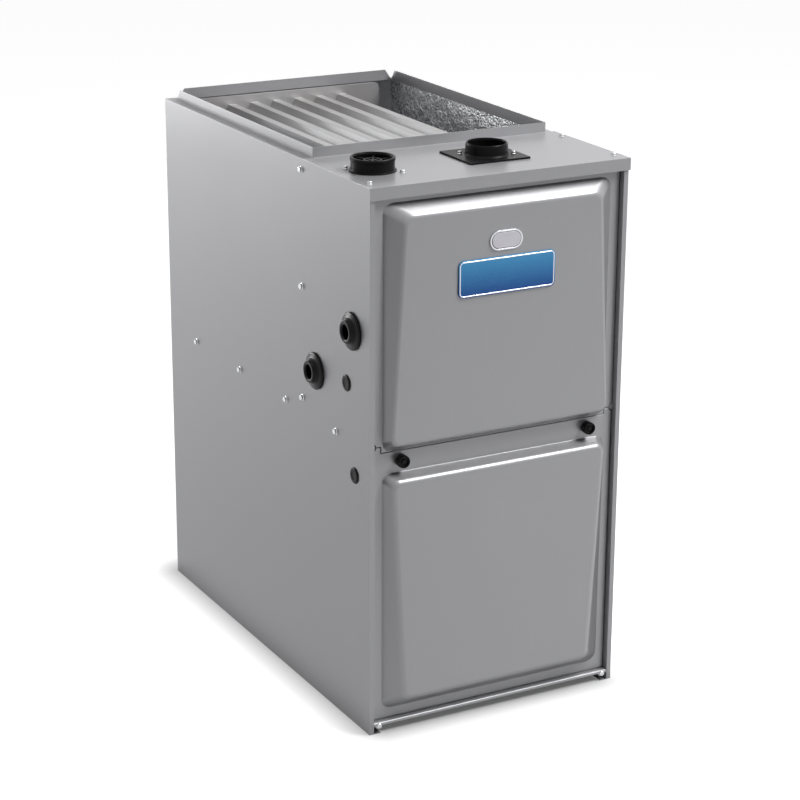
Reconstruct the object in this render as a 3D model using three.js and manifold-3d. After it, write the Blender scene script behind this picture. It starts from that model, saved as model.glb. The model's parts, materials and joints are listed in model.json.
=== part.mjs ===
// Forced air gas furnace: an upflow condensing unit with its sheet metal cabinet, two lift-off doors,
// heat exchanger, burners, vent inducer and circulating blower.
// Sizes are in millimetres. +X runs to the right across the front, +Y runs from the front to the back
// and +Z is up. The origin is on the floor under the middle of the cabinet.

import * as THREE from 'three';
import { mergeVertices } from 'three/addons/utils/BufferGeometryUtils.js';
import Module from 'manifold-3d';

const wasm = await Module();
wasm.setup();

// ---- Cabinet sizes ----
const CABINET_WIDTH = 444.5;
const CABINET_DEPTH = 749.3;
const CABINET_HEIGHT = 868; // floor to the top cover
const SHEET = 1; // thickness of the bent sheet parts
const SEAM = 0.3; // gap between two pieces that lie against each other
const OVERCUT = 1; // how far a cut runs past the face it opens
const EMBED = 1; // how far two joined shapes reach into each other
const FRONT_EDGE = 8; // flat front edge of a side panel
const DOOR_RECESS = 10; // door flange behind the front edge
const DOOR_STOP_DEPTH = 24.65; // front edge to the stop behind the doors
const DOOR_STOP_REACH = 22; // side wall to the free edge of that stop
const BASE_FLANGE = 20; // inward flange along the floor
const REAR_FLANGE = 15; // inward flange at a side panel's back edge
const SIDE_LEDGE = 16; // side wall to the duct flange
const REAR_LEDGE = 15; // back wall to the duct flange
const DUCT_FLANGE_HEIGHT = 16;
const DUCT_FLANGE_CORNER = 0.5;
const DUCT_MITRE = 12; // sloped end of a duct flange
const COVER_LIP_HEIGHT = 19;
const COVER_LIP_OVERHANG = 3; // lip in front of the front edge
const COVER_SIDE_OVERHANG = 1.5;
const RAIL_HEM_HEIGHT = 5;
const RAIL_TOP = 18; // floor to the ledge under the lower door
const RAIL_UPSTAND = 20;
const DECK_TOP = 475; // floor to the deck between blower and heat exchanger
const DECK_FLANGE = 20;
const DECK_FRONT_FLANGE = 45;
const PAN_EDGE = 12;
const VEST_SETBACK = 216.95; // cabinet front to the panel behind the burners
const VEST_FLANGE = 18;

// ---- Doors ----
const DOOR_CLEARANCE = 1.75; // door edge to the cabinet's front edge, each side
const DOOR_GAP = 1; // between the doors, and under the top lip
const DOOR_REST = 0.5; // lower door above its rail
const DOOR_SPLIT = 457; // top edge of the lower door between its ears
const EAR_HEIGHT = 10; // ears at the lower door's top corners
const EAR_WIDTH = 14;
const RELIEF_RADIUS = 8; // half-round relief at the ends of the door split
const PRESSING_DEPTH = 21.35;
const PRESSING_CORNER = 14;
const FACE_CORNER = 8;
const UPPER_PRESSING = { sideInset: 1, bottomInset: 1, topInset: 8 };
const UPPER_FACE = { topInset: 45.5, bottomInset: 32.5, topDrop: 27, bottomRise: 15 };
const LOWER_PRESSING = { margin: 15.5, bottomInset: 17, topInset: 34 };
const LOWER_FACE = { topInset: 24.5, bottomInset: 45.5, topDrop: 43, bottomRise: 35 };
const THUMB_SCREW = { fromEdge: 47.5, drop: 15, radius: 10, length: 13, shank: 3, reach: 22 };
const THUMB_SCREW_HEAD = { bevel: 1, neck: 7, neckLength: 3, recess: 6, recessDepth: 4, centre: 3.5 };
const SIGHT_GLASS = { width: 56, height: 30, drop: 99, rim: 6, stand: 2.5 };
const BADGE = { width: 166, height: 55, drop: 152.5, corner: 5, thickness: 2 };

// ---- Side wall and top fittings: [behind the cabinet front, above the floor] ----
const SIDE_GROMMETS = { upper: [57.15, 639.3], lower: [180.65, 542.5] };
const SIDE_PLUGS = { upper: [75.05, 553.2], lower: [49.05, 413.6] };
const GROMMET = { radius: 28.5, hole: 25, bore: 10, stand: 20, inner: 27, bead: 4, behind: 5 };
const GROMMET_LIP = { bore: 1.5, reach: 3, width: 4, wall: 6, slope: 5, length: 9 };
const GROMMET_CUP = { stepBack: 5, front: 10, taper: 3 };
const PLUG = { radius: 13, hole: 11, stand: 2.5, inner: 12 };
const COVER_PLUG = { radius: GROMMET.radius, hole: GROMMET.hole, stand: 3, inner: GROMMET.inner };
const PLUG_RIM = { bevel: 2, wall: 2, behind: 4 };
const INTAKE = { fromSide: 57.25, setback: 100.65, height: 21.5 };
const EXHAUST = { x: 36, setback: 110.65, height: 18, plate: [-19, 85], plateDepth: 97 };
const COLLAR = { outer: 33, bore: 29, spigot: 30, hole: 30.8, spigotLength: 28 };
const COLLAR_FOOT = { reach: 3, thickness: 2, slope: 1.5 };
const COLLAR_LIP = { reach: 1, height: 5, bevel: 1, mouth: 1.5, mouthDepth: 3 };
const INTAKE_GUARD = { drop: 5, depth: 4, bar: 3, ring: [11, 14] };
const EXHAUST_SLEEVE = { plate: 3, fillet: [1.5, 2], mouth: 1, mouthDepth: 2 };

// ---- Heat exchanger ----
const HEAT_TUBE = { radius: 22, wall: 1.2, pitch: 85, topDrop: 73, pass: 66, rearRoom: 75, toFront: 3 };
const HEAT_TUBE_COUNT = 3;
const BAFFLE = { drop: 32, ribs: 6, pitch: 42, rise: 13, base: 26, crest: 14, skirt: 22 };
const BAFFLE_REAR = { fromSide: 43.25, drop: 2.2, corner: 12, gap: 1.5, height: 120 };
const INSULATION = 12;
const COIL = { height: 52, sideGap: 32.95, fins: 24, fin: 1.2, frontGap: 35, rearGap: 72, foot: 12, end: 2 };
const HOT_BOX = { half: 128, depth: 36, overlap: 4, gap: 4 };
const DRAIN_BOX = { half: 76, depth: 82, wall: 3 };
const TRAP = { width: 50, depth: 64, height: 84, wallGap: 6, toVest: 10 };
const TRAP_OUTLET = { radius: 9, length: 14, rise: 20 };
const TRAP_CAP = { radius: 14, height: 6 };

// ---- Burners and gas ----
const BURNER_BOX = { half: 135, height: 66, depth: 74 };
const BURNER = { radius: 15, wall: 1.5, length: 36, flare: 19, flareLength: 6, toVest: 18 };
const BURNER_BRIDGE = 24; // half its height
const MANIFOLD = { radius: 9, toVest: 64, fromSide: 52.25, right: 112, bend: 18, drop: 30 };
const SPUD = { radius: 4.5, reach: 4.5 };
const GAS_VALVE = { width: 56, depth: 60, height: 70 };
const VALVE_OUTLET = { wall: 4, length: 8 };
const VALVE_INLET = { bore: 9, radius: 14, length: 14 };
const SOLENOID = { radius: 15, length: 12, toFront: 8 };
const VALVE_KNOB = { radius: 11, height: 8, base: 3, grip: 4, gripInset: 1 };
const PROBE = { radius: 2.5, toVest: 10, plate: 24, tipPast: 4, outside: 16, sleeve: 3, sleeveLength: 12 };
const ROLLOUT = { x: 110, radius: 9, height: 10, foot: [32, 14] };
const RESET_BUTTON = { radius: 3.2, travel: 2, depth: 3, stand: 4.5 };
const LIMIT = { fromSide: 50.25, z: 720, radius: 13, height: 9, probe: 3, reach: 40 };

// ---- Vent inducer ----
const INDUCER = { drop: 21, radius: 62, depth: 46, inlet: 18, wall: 2, shaftRoom: 2, outletInset: 7 };
const INDUCER_MOTOR = { radius: 38, length: 30, bevel: [8, 6], toSocket: 6 };
const INDUCER_WHEEL = { radius: 46, width: 26, vanes: 10, plate: 2, hub: 9, vane: 1.6, vaneFrom: 11, rim: 1 };
const INDUCER_SHAFT = 4;
const COOLING_FAN = { radius: 34, width: 8, blades: 6, hub: 9, gap: 2, shaftPast: 2 };
const FAN_BLADE = { thickness: 1.2, chord: 12, pitchAngle: 0.45, from: 6 };
const VENT = { outer: 28, wall: 2, socket: 31, socketRise: 77, intoSocket: 14, intoCollar: 14 };
const SOCKET_THROAT = { inset: 9, step: 2 };
const PRESSURE_SWITCH = { radius: 36, depth: 26, z: 650, setback: 125, toWall: 14, rim: 4, rimReach: 6 };
const SWITCH_BRACKET = { width: 30, height: 20 };
const SWITCH_PORT = { radius: 3.5, inset: 8, length: 10, overlap: 12 };

// ---- Blower and controls ----
const BLOWER = { y: 80, z: 250, wheel: 133, width: 180, toCutoff: 14, toScroll: 57, housing: 206 };
const SCROLL_START = Math.PI * 0.42; // angle of the cutoff edge above +Y
const SCROLL_POINTS = 18;
const INLET_OVERLAP = 23; // the wheel's rim behind the inlet's edge
const WHEEL = { blades: 18, chord: 12, ring: 3, hub: 16, plate: 2, rim: 2 };
const WHEEL_BLADE = { thickness: 1.4, pitchAngle: 0.5 };
const BLOWER_OUTLET = { depth: 158, flange: 12 };
const BLOWER_MOTOR = { radius: 68, from: -148, to: -24, bevel: 14, shaft: 6.35, shaftPast: 8 };
const MOTOR_BAND = { width: 30, thickness: 2.5, arms: 3, arm: 14, pastInlet: 16, startTurn: 0.25 };
const CONTROL_PANEL = { x: [-160, 130], setback: 76, height: 150, flange: 40 };
const BOARD = { x: [-20, 115], height: 100, thickness: 1.6, stand: 6, toDeck: 44 };
const BOARD_POST = { radius: 2.5, inset: 6 };
const RELAY = { width: 20, height: 16, depth: 14, gap: 4, left: 12, drop: 12, count: 3 };
const BOARD_PLUG = { width: 64, height: 10, depth: 10, left: 12, rise: 8 };
const CAPACITOR = { radius: 8, depth: 16, right: 26, rise: 30 };
const INTO_BOARD = 0.5;
const TRANSFORMER = { x: -105, width: 56, height: 62, depth: 44, toDeck: 100 };
const TRANSFORMER_CORE = { inset: 8, coilWidth: 37.5, coilHeight: 29.5, coilBack: 2 };
const DOOR_SWITCH = { width: 30, height: 24, depth: 34, plunger: 4, well: 12, travel: 4 };

// ---- Places that follow from the sizes above ----
const HALF_WIDTH = CABINET_WIDTH / 2;
const FRONT = -CABINET_DEPTH / 2;
const BACK = CABINET_DEPTH / 2;
const INNER_HALF = HALF_WIDTH - SHEET - SEAM;
const LEDGE_TOP = CABINET_HEIGHT - SHEET - SEAM;
const DUCT_TOP = CABINET_HEIGHT + DUCT_FLANGE_HEIGHT;
const DOOR_PLANE = FRONT + DOOR_RECESS;
const STOP_PLANE = FRONT + DOOR_STOP_DEPTH;
const VEST_Y = FRONT + VEST_SETBACK;
const BACK_PANEL_Y = BACK - SHEET - SEAM;
const INSIDE_BACK = BACK_PANEL_Y - SHEET - SEAM;
const DOOR_HEM = DOOR_STOP_DEPTH - DOOR_RECESS - SEAM;
const STOP_HALF = HALF_WIDTH - DOOR_STOP_REACH;
const DOOR_HALF = HALF_WIDTH - FRONT_EDGE - DOOR_CLEARANCE;
const UPPER_DOOR_TOP = CABINET_HEIGHT - COVER_LIP_HEIGHT - DOOR_GAP;
const LOWER_DOOR_BOTTOM = RAIL_TOP + DOOR_REST;
const SCREW_X = DOOR_HALF - THUMB_SCREW.fromEdge;
const SCREW_Z = DOOR_SPLIT - THUMB_SCREW.drop;
const TUBE_TOP_Z = CABINET_HEIGHT - HEAT_TUBE.topDrop;
const TUBE_PASSES = 4;
const TUBE_BOTTOM_Z = TUBE_TOP_Z - (TUBE_PASSES - 1) * HEAT_TUBE.pass;
const HOT_BOX_BOTTOM = TUBE_BOTTOM_Z - HEAT_TUBE.radius - HOT_BOX.overlap - SHEET;
const DRAIN_BOX_TOP = HOT_BOX_BOTTOM - HOT_BOX.gap;
const INDUCER_Z = DRAIN_BOX_TOP - INDUCER.drop;
const SOCKET_TOP = INDUCER_Z + VENT.socketRise;
const LIMIT_X = HALF_WIDTH - LIMIT.fromSide;
const VALVE_X = -HALF_WIDTH + MANIFOLD.fromSide;
const BLOWER_INLET = BLOWER.wheel - INLET_OVERLAP;
const SCROLL = BLOWER.wheel + BLOWER.toScroll;
const INTAKE_X = -HALF_WIDTH + INTAKE.fromSide;
const EXHAUST_Y = FRONT + EXHAUST.setback;
const INTAKE_Y = FRONT + INTAKE.setback;
const COVER_BACK = VEST_Y - SEAM;

const ROUND_SIDES = 16;
const SAME_PLACE = 0.001; // two points this near are one

// ---- Finishes ----
const finish = (color, roughness, metalness) =>
  new THREE.MeshStandardMaterial({ color, roughness, metalness });
const paintedSteel = () => finish(0x9b9ca0, 0.38, 0.6);
const galvanised = () => finish(0x8e9092, 0.45, 0.9);
const aluminised = () => finish(0xa4a39f, 0.4, 0.9);
const blackPlastic = () => finish(0x17181a, 0.4, 0);
const blackRubber = () => finish(0x141414, 0.6, 0);
const foil = () => finish(0xa8aaad, 0.35, 0.9);

// ---- Solids ----

// A closed geometry as a solid that can be joined and cut.
function solidOf(geometry) {
  geometry.deleteAttribute('normal');
  geometry.deleteAttribute('uv');
  const merged = mergeVertices(geometry);
  const corners = merged.index.array;
  const triangles = [];
  for (let i = 0; i < corners.length; i += 3) {
    const [a, b, c] = corners.slice(i, i + 3);
    if (a !== b && b !== c && c !== a) triangles.push(a, b, c);
  }
  return new wasm.Manifold(new wasm.Mesh({
    numProp: 3,
    vertProperties: merged.attributes.position.array,
    triVerts: new Uint32Array(triangles),
  }));
}

function geometryOf(solid) {
  const { vertProperties, triVerts } = solid.getMesh();
  const geometry = new THREE.BufferGeometry();
  geometry.setAttribute('position', new THREE.BufferAttribute(vertProperties, 3));
  geometry.setIndex(new THREE.BufferAttribute(triVerts, 1));
  geometry.computeVertexNormals();
  return geometry;
}

const join = (...solids) => solids.reduce((whole, piece) => whole.add(piece));
const cut = (solid, ...tools) => tools.reduce((whole, tool) => whole.subtract(tool), solid);

// A span made longer at both ends, for a cut that opens both faces.
const beyond = ([from, to], extra = OVERCUT) => [from - extra, to + extra];

function block([x0, x1], [y0, y1], [z0, z1]) {
  const geometry = new THREE.BoxGeometry(x1 - x0, y1 - y0, z1 - z0);
  return solidOf(geometry.translate((x0 + x1) / 2, (y0 + y1) / 2, (z0 + z1) / 2));
}

const AXIS_X = new THREE.Vector3(1, 0, 0);
const AXIS_Y = new THREE.Vector3(0, 1, 0);
const AXIS_Z = new THREE.Vector3(0, 0, 1);

// Geometry of an outline pushed along an axis. An outline is drawn in (y, z) for axis x,
// in (x, z) for axis y and in (x, y) for axis z.
function prismGeometry(axis, outline, [from, to], curveSegments = 6) {
  const shape = outline instanceof THREE.Shape
    ? outline
    : new THREE.Shape(outline.map(([u, v]) => new THREE.Vector2(u, v)));
  const geometry = new THREE.ExtrudeGeometry(shape, { depth: to - from, bevelEnabled: false, curveSegments });
  const turn = new THREE.Matrix4();
  if (axis === 'x') turn.makeBasis(AXIS_Y, AXIS_Z, AXIS_X).setPosition(from, 0, 0);
  if (axis === 'y') turn.makeBasis(AXIS_X, AXIS_Z, AXIS_Y.clone().negate()).setPosition(0, to, 0);
  if (axis === 'z') turn.setPosition(0, 0, from);
  return geometry.applyMatrix4(turn);
}

const prism = (...args) => solidOf(prismGeometry(...args));

function circleShape([u, v], radius) {
  return new THREE.Shape().absarc(u, v, radius, 0, Math.PI * 2);
}

const rod = (axis, centre, radius, span, sides = ROUND_SIDES) =>
  prism(axis, circleShape(centre, radius), span, sides / 2);

// A hole with flat sides that still clears a round piece of the given radius.
const clearRadius = (radius, sides = ROUND_SIDES) => radius / Math.cos(Math.PI / sides);

// The hole along an axis that a turning or fixed shaft runs in.
function shaftBore(axis, shaft, span) {
  return rod(axis, [0, 0], clearRadius(shaft + SEAM, 12), beyond(span), 12);
}

function pipe(axis, centre, [inner, outer], span, sides = ROUND_SIDES) {
  return cut(rod(axis, centre, outer, span, sides), rod(axis, centre, inner, beyond(span), sides));
}

// A profile of [radius, distance along the axis], counter-clockwise, turned round an axis.
function turned(axis, [x, y, z], profile, sides = ROUND_SIDES) {
  const points = [...profile, profile[0]].map(([radius, along]) => new THREE.Vector2(radius, along));
  const geometry = new THREE.LatheGeometry(points, sides);
  if (axis === 'x') geometry.rotateZ(-Math.PI / 2);
  if (axis === 'z') geometry.rotateX(Math.PI / 2);
  return solidOf(geometry.translate(x, y, z));
}

// ---- Outlines ----

// The point at a distance to the right of a path at its bend.
function offsetPoint(before, point, after, distance) {
  const heading = ([u0, v0], [u1, v1]) => new THREE.Vector2(u1 - u0, v1 - v0).normalize();
  const arriving = before ? heading(before, point) : heading(point, after);
  const leaving = after ? heading(point, after) : arriving;
  const mitre = new THREE.Vector2(arriving.y + leaving.y, -arriving.x - leaving.x);
  mitre.multiplyScalar(distance / (1 + arriving.dot(leaving)));
  return [point[0] + mitre.x, point[1] + mitre.y];
}

// Outline of a bent sheet whose outer face follows the path, with its thickness on the path's right.
function bentSheet(path, thickness = SHEET) {
  const innerFace = path.map((point, i) => offsetPoint(path[i - 1], point, path[i + 1], thickness));
  return [...path, ...innerFace.reverse()];
}

// A closed counter-clockwise outline moved inwards.
function inset(outline, distance) {
  const count = outline.length;
  return outline.map((point, i) =>
    offsetPoint(outline[(i + count - 1) % count], point, outline[(i + 1) % count], -distance));
}

const mirrored = (outline) => outline.map(([u, v]) => [-u, v]);
const rectangle = ([u0, u1], [v0, v1]) => [[u0, v0], [u1, v0], [u1, v1], [u0, v1]];

// A four-sided outline with rounded corners, as a list of points.
function softCorners(corners, radius, divisions = 3) {
  const path = new THREE.Path();
  const points = corners.map(([u, v]) => new THREE.Vector2(u, v));
  points.forEach((corner, i) => {
    const before = points[(i + points.length - 1) % points.length];
    const after = points[(i + 1) % points.length];
    const start = corner.clone().add(before.clone().sub(corner).setLength(radius));
    const end = corner.clone().add(after.clone().sub(corner).setLength(radius));
    if (i === 0) path.moveTo(start.x, start.y);
    else path.lineTo(start.x, start.y);
    path.quadraticCurveTo(corner.x, corner.y, end.x, end.y);
  });
  return path.getPoints(divisions).map((point) => [point.x, point.y]);
}

function capsuleShape([u, v], width, height) {
  const reach = (width - height) / 2;
  const shape = new THREE.Shape();
  shape.absarc(u + reach, v, height / 2, -Math.PI / 2, Math.PI / 2);
  shape.absarc(u - reach, v, height / 2, Math.PI / 2, Math.PI * 1.5);
  return shape;
}

// A prism along Y whose outline changes from the base at one end to the face at the other.
function tapered(base, face, [baseY, faceY]) {
  const geometry = prismGeometry('y', base, [faceY, baseY]);
  const position = geometry.attributes.position;
  for (let i = 0; i < position.count; i += 1) {
    const atFace = Math.abs(position.getY(i) - faceY) < Math.abs(position.getY(i) - baseY);
    if (!atFace) continue;
    const [x, z] = [position.getX(i), position.getZ(i)];
    const corner = base.findIndex(([u, v]) => Math.hypot(u - x, v - z) < SAME_PLACE);
    position.setXYZ(i, face[corner][0], faceY, face[corner][1]);
  }
  return solidOf(geometry);
}

// A pipe run with stations only at its ends and round its bends.
class PipeRun extends THREE.Curve {
  constructor(corners, bendRadius, bendSteps = 6) {
    super();
    this.stations = [];
    this.headings = [];
    const points = corners.map((corner) => new THREE.Vector3(...corner));
    const last = points.length - 1;
    this.addStation(points[0], points[1].clone().sub(points[0]).normalize());
    for (let i = 1; i < last; i += 1) {
      const arriving = points[i].clone().sub(points[i - 1]).normalize();
      const leaving = points[i + 1].clone().sub(points[i]).normalize();
      const centre = points[i].clone()
        .addScaledVector(arriving, -bendRadius)
        .addScaledVector(leaving, bendRadius);
      for (let step = 0; step <= bendSteps; step += 1) {
        const angle = (step / bendSteps) * (Math.PI / 2);
        const place = centre.clone()
          .addScaledVector(leaving, -bendRadius * Math.cos(angle))
          .addScaledVector(arriving, bendRadius * Math.sin(angle));
        const heading = arriving.clone()
          .multiplyScalar(Math.cos(angle))
          .addScaledVector(leaving, Math.sin(angle));
        const repeated = this.stations.at(-1).distanceTo(place) < SAME_PLACE;
        if (!repeated) this.addStation(place, heading);
      }
    }
    this.addStation(points[last], points[last].clone().sub(points[last - 1]).normalize());
  }

  addStation(place, heading) {
    this.stations.push(place);
    this.headings.push(heading);
  }

  get steps() {
    return this.stations.length - 1;
  }

  getSpacedPoints() {
    return this.stations.map((place) => place.clone());
  }

  getTangentAt(share, target = new THREE.Vector3()) {
    return target.copy(this.headings[Math.round(share * this.steps)]);
  }
}

function bentPipe(run, shape, sides = ROUND_SIDES) {
  return solidOf(new THREE.ExtrudeGeometry(shape, {
    steps: run.steps,
    extrudePath: run,
    bevelEnabled: false,
    curveSegments: sides / 2,
  }));
}

// ---- Assembly ----
const furnace = new THREE.Group();

function assembly(x, y, z, parent = furnace) {
  const group = new THREE.Group();
  group.position.set(x, y, z);
  parent.add(group);
  return group;
}

function place(name, solid, material, parent = furnace) {
  const mesh = new THREE.Mesh(geometryOf(solid), material);
  mesh.name = name;
  parent.add(mesh);
}

// ---- Cabinet shell ----

// A span across one side wall, or a flange near it, on the left or the right.
const onSide = (side, [near, far]) => (side < 0 ? [-far, -near] : [near, far]);

const WALL_THROUGH = beyond([HALF_WIDTH - SHEET, HALF_WIDTH]);
const sideHoles = (fitting, radius, side) => Object.values(fitting).map(([setback, z]) =>
  rod('x', [FRONT + setback, z], clearRadius(radius), onSide(side, WALL_THROUGH)));

function sidePanel(side) {
  const turn = side < 0 ? (outline) => outline : mirrored;
  const edgeX = HALF_WIDTH - FRONT_EDGE;
  const ledgeX = HALF_WIDTH - SIDE_LEDGE;
  const flangeBack = BACK - REAR_LEDGE;
  const wall = bentSheet([
    [-STOP_HALF, STOP_PLANE],
    [-edgeX, STOP_PLANE],
    [-edgeX, FRONT],
    [-HALF_WIDTH, FRONT],
    [-HALF_WIDTH, BACK],
    [-HALF_WIDTH + REAR_FLANGE, BACK],
  ]);
  const ledge = [
    [-HALF_WIDTH, LEDGE_TOP - SHEET - EMBED],
    [-HALF_WIDTH, LEDGE_TOP],
    [-ledgeX, LEDGE_TOP],
  ];
  const ductFlange = [...ledge, [-ledgeX, DUCT_TOP]];
  const base = rectangle([-HALF_WIDTH, -HALF_WIDTH + BASE_FLANGE], [0, SHEET]);
  const mitre = [
    [flangeBack, LEDGE_TOP],
    [BACK + OVERCUT, LEDGE_TOP],
    [BACK + OVERCUT, DUCT_TOP + OVERCUT],
    [flangeBack - DUCT_MITRE, DUCT_TOP + OVERCUT],
    [flangeBack - DUCT_MITRE, DUCT_TOP],
  ];
  const flanged = cut(
    prism('y', turn(bentSheet(ductFlange)), [COVER_BACK + SEAM, BACK]),
    prism('x', mitre, onSide(side, beyond([ledgeX - SHEET, HALF_WIDTH]))),
  );
  const shell = join(
    prism('z', turn(wall), [0, LEDGE_TOP]),
    prism('y', turn(bentSheet(ledge)), [FRONT, BACK]),
    flanged,
    prism('y', turn(base), [FRONT, BACK]),
  );
  const plugHoles = side < 0 ? sideHoles(SIDE_PLUGS, PLUG.hole, side) : [];
  return cut(shell, ...sideHoles(SIDE_GROMMETS, GROMMET.hole, side), ...plugHoles);
}

function backPanel() {
  const ledgeHalf = HALF_WIDTH - SIDE_LEDGE - SHEET - SEAM;
  const flangeY = BACK - REAR_LEDGE;
  const plateTop = LEDGE_TOP - SHEET - SEAM;
  const ledge = bentSheet([
    [BACK_PANEL_Y, LEDGE_TOP - SHEET - EMBED],
    [BACK_PANEL_Y, LEDGE_TOP],
    [flangeY, LEDGE_TOP],
    [flangeY, DUCT_TOP],
  ], -SHEET);
  const mitre = [
    [ledgeHalf, LEDGE_TOP],
    [ledgeHalf + OVERCUT, LEDGE_TOP],
    [ledgeHalf + OVERCUT, DUCT_TOP + OVERCUT],
    [ledgeHalf - DUCT_MITRE, DUCT_TOP + OVERCUT],
    [ledgeHalf - DUCT_MITRE, DUCT_TOP],
  ];
  const flangeSpan = beyond([flangeY - SHEET, flangeY]);
  const flange = cut(
    prism('x', ledge, [-ledgeHalf, ledgeHalf]),
    prism('y', mitre, flangeSpan),
    prism('y', mirrored(mitre), flangeSpan),
  );
  const plateY = [BACK_PANEL_Y - SHEET, BACK_PANEL_Y];
  const plate = block([-INNER_HALF, INNER_HALF], plateY, [SHEET + SEAM, plateTop]);
  const neck = block([-ledgeHalf, ledgeHalf], plateY, [plateTop - EMBED, LEDGE_TOP]);
  return join(plate, neck, flange);
}

function basePan() {
  const half = HALF_WIDTH - BASE_FLANGE - SEAM;
  const section = bentSheet([[half, PAN_EDGE], [half, 0], [-half, 0], [-half, PAN_EDGE]]);
  return prism('y', section, [STOP_PLANE + SHEET + SEAM, INSIDE_BACK]);
}

function frontBaseRail() {
  const half = HALF_WIDTH - FRONT_EDGE - SEAM;
  const section = bentSheet([
    [FRONT, RAIL_TOP - RAIL_HEM_HEIGHT],
    [FRONT, RAIL_TOP],
    [STOP_PLANE, RAIL_TOP],
    [STOP_PLANE, RAIL_TOP + RAIL_UPSTAND],
  ]);
  const stopNotch = (side) => block(
    onSide(side, [STOP_HALF - SEAM, half + OVERCUT]),
    [STOP_PLANE - SEAM, STOP_PLANE + SHEET + OVERCUT],
    [0, RAIL_TOP + RAIL_UPSTAND + OVERCUT],
  );
  return cut(prism('x', section, [-half, half]), stopNotch(-1), stopNotch(1));
}

function topCover() {
  const half = HALF_WIDTH + COVER_SIDE_OVERHANG;
  const flangeHalf = HALF_WIDTH - SIDE_LEDGE;
  const lipY = FRONT - COVER_LIP_OVERHANG;
  const section = bentSheet([
    [lipY, CABINET_HEIGHT - COVER_LIP_HEIGHT],
    [lipY, CABINET_HEIGHT],
    [COVER_BACK, CABINET_HEIGHT],
  ]);
  const flangeOutline = rectangle([-flangeHalf, flangeHalf], [CABINET_HEIGHT - SHEET, DUCT_TOP]);
  const flangeY = [COVER_BACK - SHEET, COVER_BACK];
  const plate = prism('x', section, [-half, half]);
  const flange = prism('y', softCorners(flangeOutline, DUCT_FLANGE_CORNER, 1), flangeY);
  const holeSpan = beyond([CABINET_HEIGHT - SHEET, CABINET_HEIGHT]);
  return cut(
    join(plate, flange),
    rod('z', [INTAKE_X, INTAKE_Y], COLLAR.hole, holeSpan),
    rod('z', [EXHAUST.x, EXHAUST_Y], COLLAR.hole, holeSpan),
  );
}

function blowerDeck() {
  const section = bentSheet([
    [-INNER_HALF, DECK_TOP - DECK_FLANGE],
    [-INNER_HALF, DECK_TOP],
    [INNER_HALF, DECK_TOP],
    [INNER_HALF, DECK_TOP - DECK_FLANGE],
  ]);
  const frontY = STOP_PLANE + SHEET + SEAM;
  const frontHalf = INNER_HALF - SHEET;
  const flangeY = [frontY, frontY + SHEET];
  const deck = prism('y', section, [frontY, INSIDE_BACK]);
  const frontFlange = block([-frontHalf, frontHalf], flangeY, [DECK_TOP - DECK_FRONT_FLANGE, DECK_TOP]);
  const hole = (x, radius) => rod('y', [x, SCREW_Z], clearRadius(radius + SEAM), beyond(flangeY));
  return cut(
    join(deck, frontFlange),
    hole(-SCREW_X, THUMB_SCREW.shank),
    hole(SCREW_X, THUMB_SCREW.shank),
    hole(0, DOOR_SWITCH.plunger),
    block(blowerOutletX(), blowerOutletY(), beyond([DECK_TOP - SHEET, DECK_TOP])),
  );
}

function vestPanel() {
  const section = bentSheet([
    [INNER_HALF, VEST_Y + VEST_FLANGE],
    [INNER_HALF, VEST_Y],
    [-INNER_HALF, VEST_Y],
    [-INNER_HALF, VEST_Y + VEST_FLANGE],
  ]);
  const through = beyond([VEST_Y, VEST_Y + SHEET]);
  const tubeHoles = heatTubePlaces().flatMap((x) => [TUBE_TOP_Z, TUBE_BOTTOM_Z].map((z) =>
    rod('y', [x, z], clearRadius(HEAT_TUBE.radius + SEAM), through)));
  return cut(
    prism('z', section, [DECK_TOP + SEAM, LEDGE_TOP - SHEET - SEAM]),
    ...tubeHoles,
    rod('y', [LIMIT_X, LIMIT.z], clearRadius(LIMIT.probe + SEAM), through),
  );
}

function sideInsulation(side) {
  return block(
    onSide(side, [INNER_HALF - INSULATION, INNER_HALF]),
    [VEST_Y + VEST_FLANGE + SEAM, INSIDE_BACK],
    [DECK_TOP + SEAM, LEDGE_TOP - SHEET - SEAM],
  );
}

place('left_side_panel', sidePanel(-1), paintedSteel());
place('right_side_panel', sidePanel(1), paintedSteel());
place('back_panel', backPanel(), paintedSteel());
place('base_pan', basePan(), galvanised());
place('front_base_rail', frontBaseRail(), paintedSteel());
place('top_cover', topCover(), paintedSteel());
place('blower_deck', blowerDeck(), galvanised());
place('vest_panel', vestPanel(), galvanised());
place('left_side_insulation', sideInsulation(-1), foil());
place('right_side_insulation', sideInsulation(1), foil());

// ---- Side wall fittings ----

// Both fit into their hole along +X from outside: x is 0 on the wall's outer face.
function grommet() {
  const { radius, hole, bore, stand, inner, bead, behind } = GROMMET;
  const lip = GROMMET_LIP;
  const cup = GROMMET_CUP;
  const neck = hole - SEAM;
  return turned('x', [0, 0, 0], [
    [bore, SHEET + behind],
    [bore, -stand + lip.reach],
    [bore - lip.bore, -stand],
    [bore + lip.width, -stand],
    [bore + lip.wall, -stand + lip.slope],
    [bore + lip.wall, -stand + lip.length],
    [neck - cup.stepBack, -stand + cup.front],
    [neck - cup.stepBack, -bead - SEAM],
    [radius, -bead - SEAM],
    [radius, -SEAM],
    [neck, -SEAM],
    [neck, SHEET + SEAM],
    [inner, SHEET + SEAM],
    [neck - cup.taper, SHEET + behind],
  ]);
}

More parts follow.
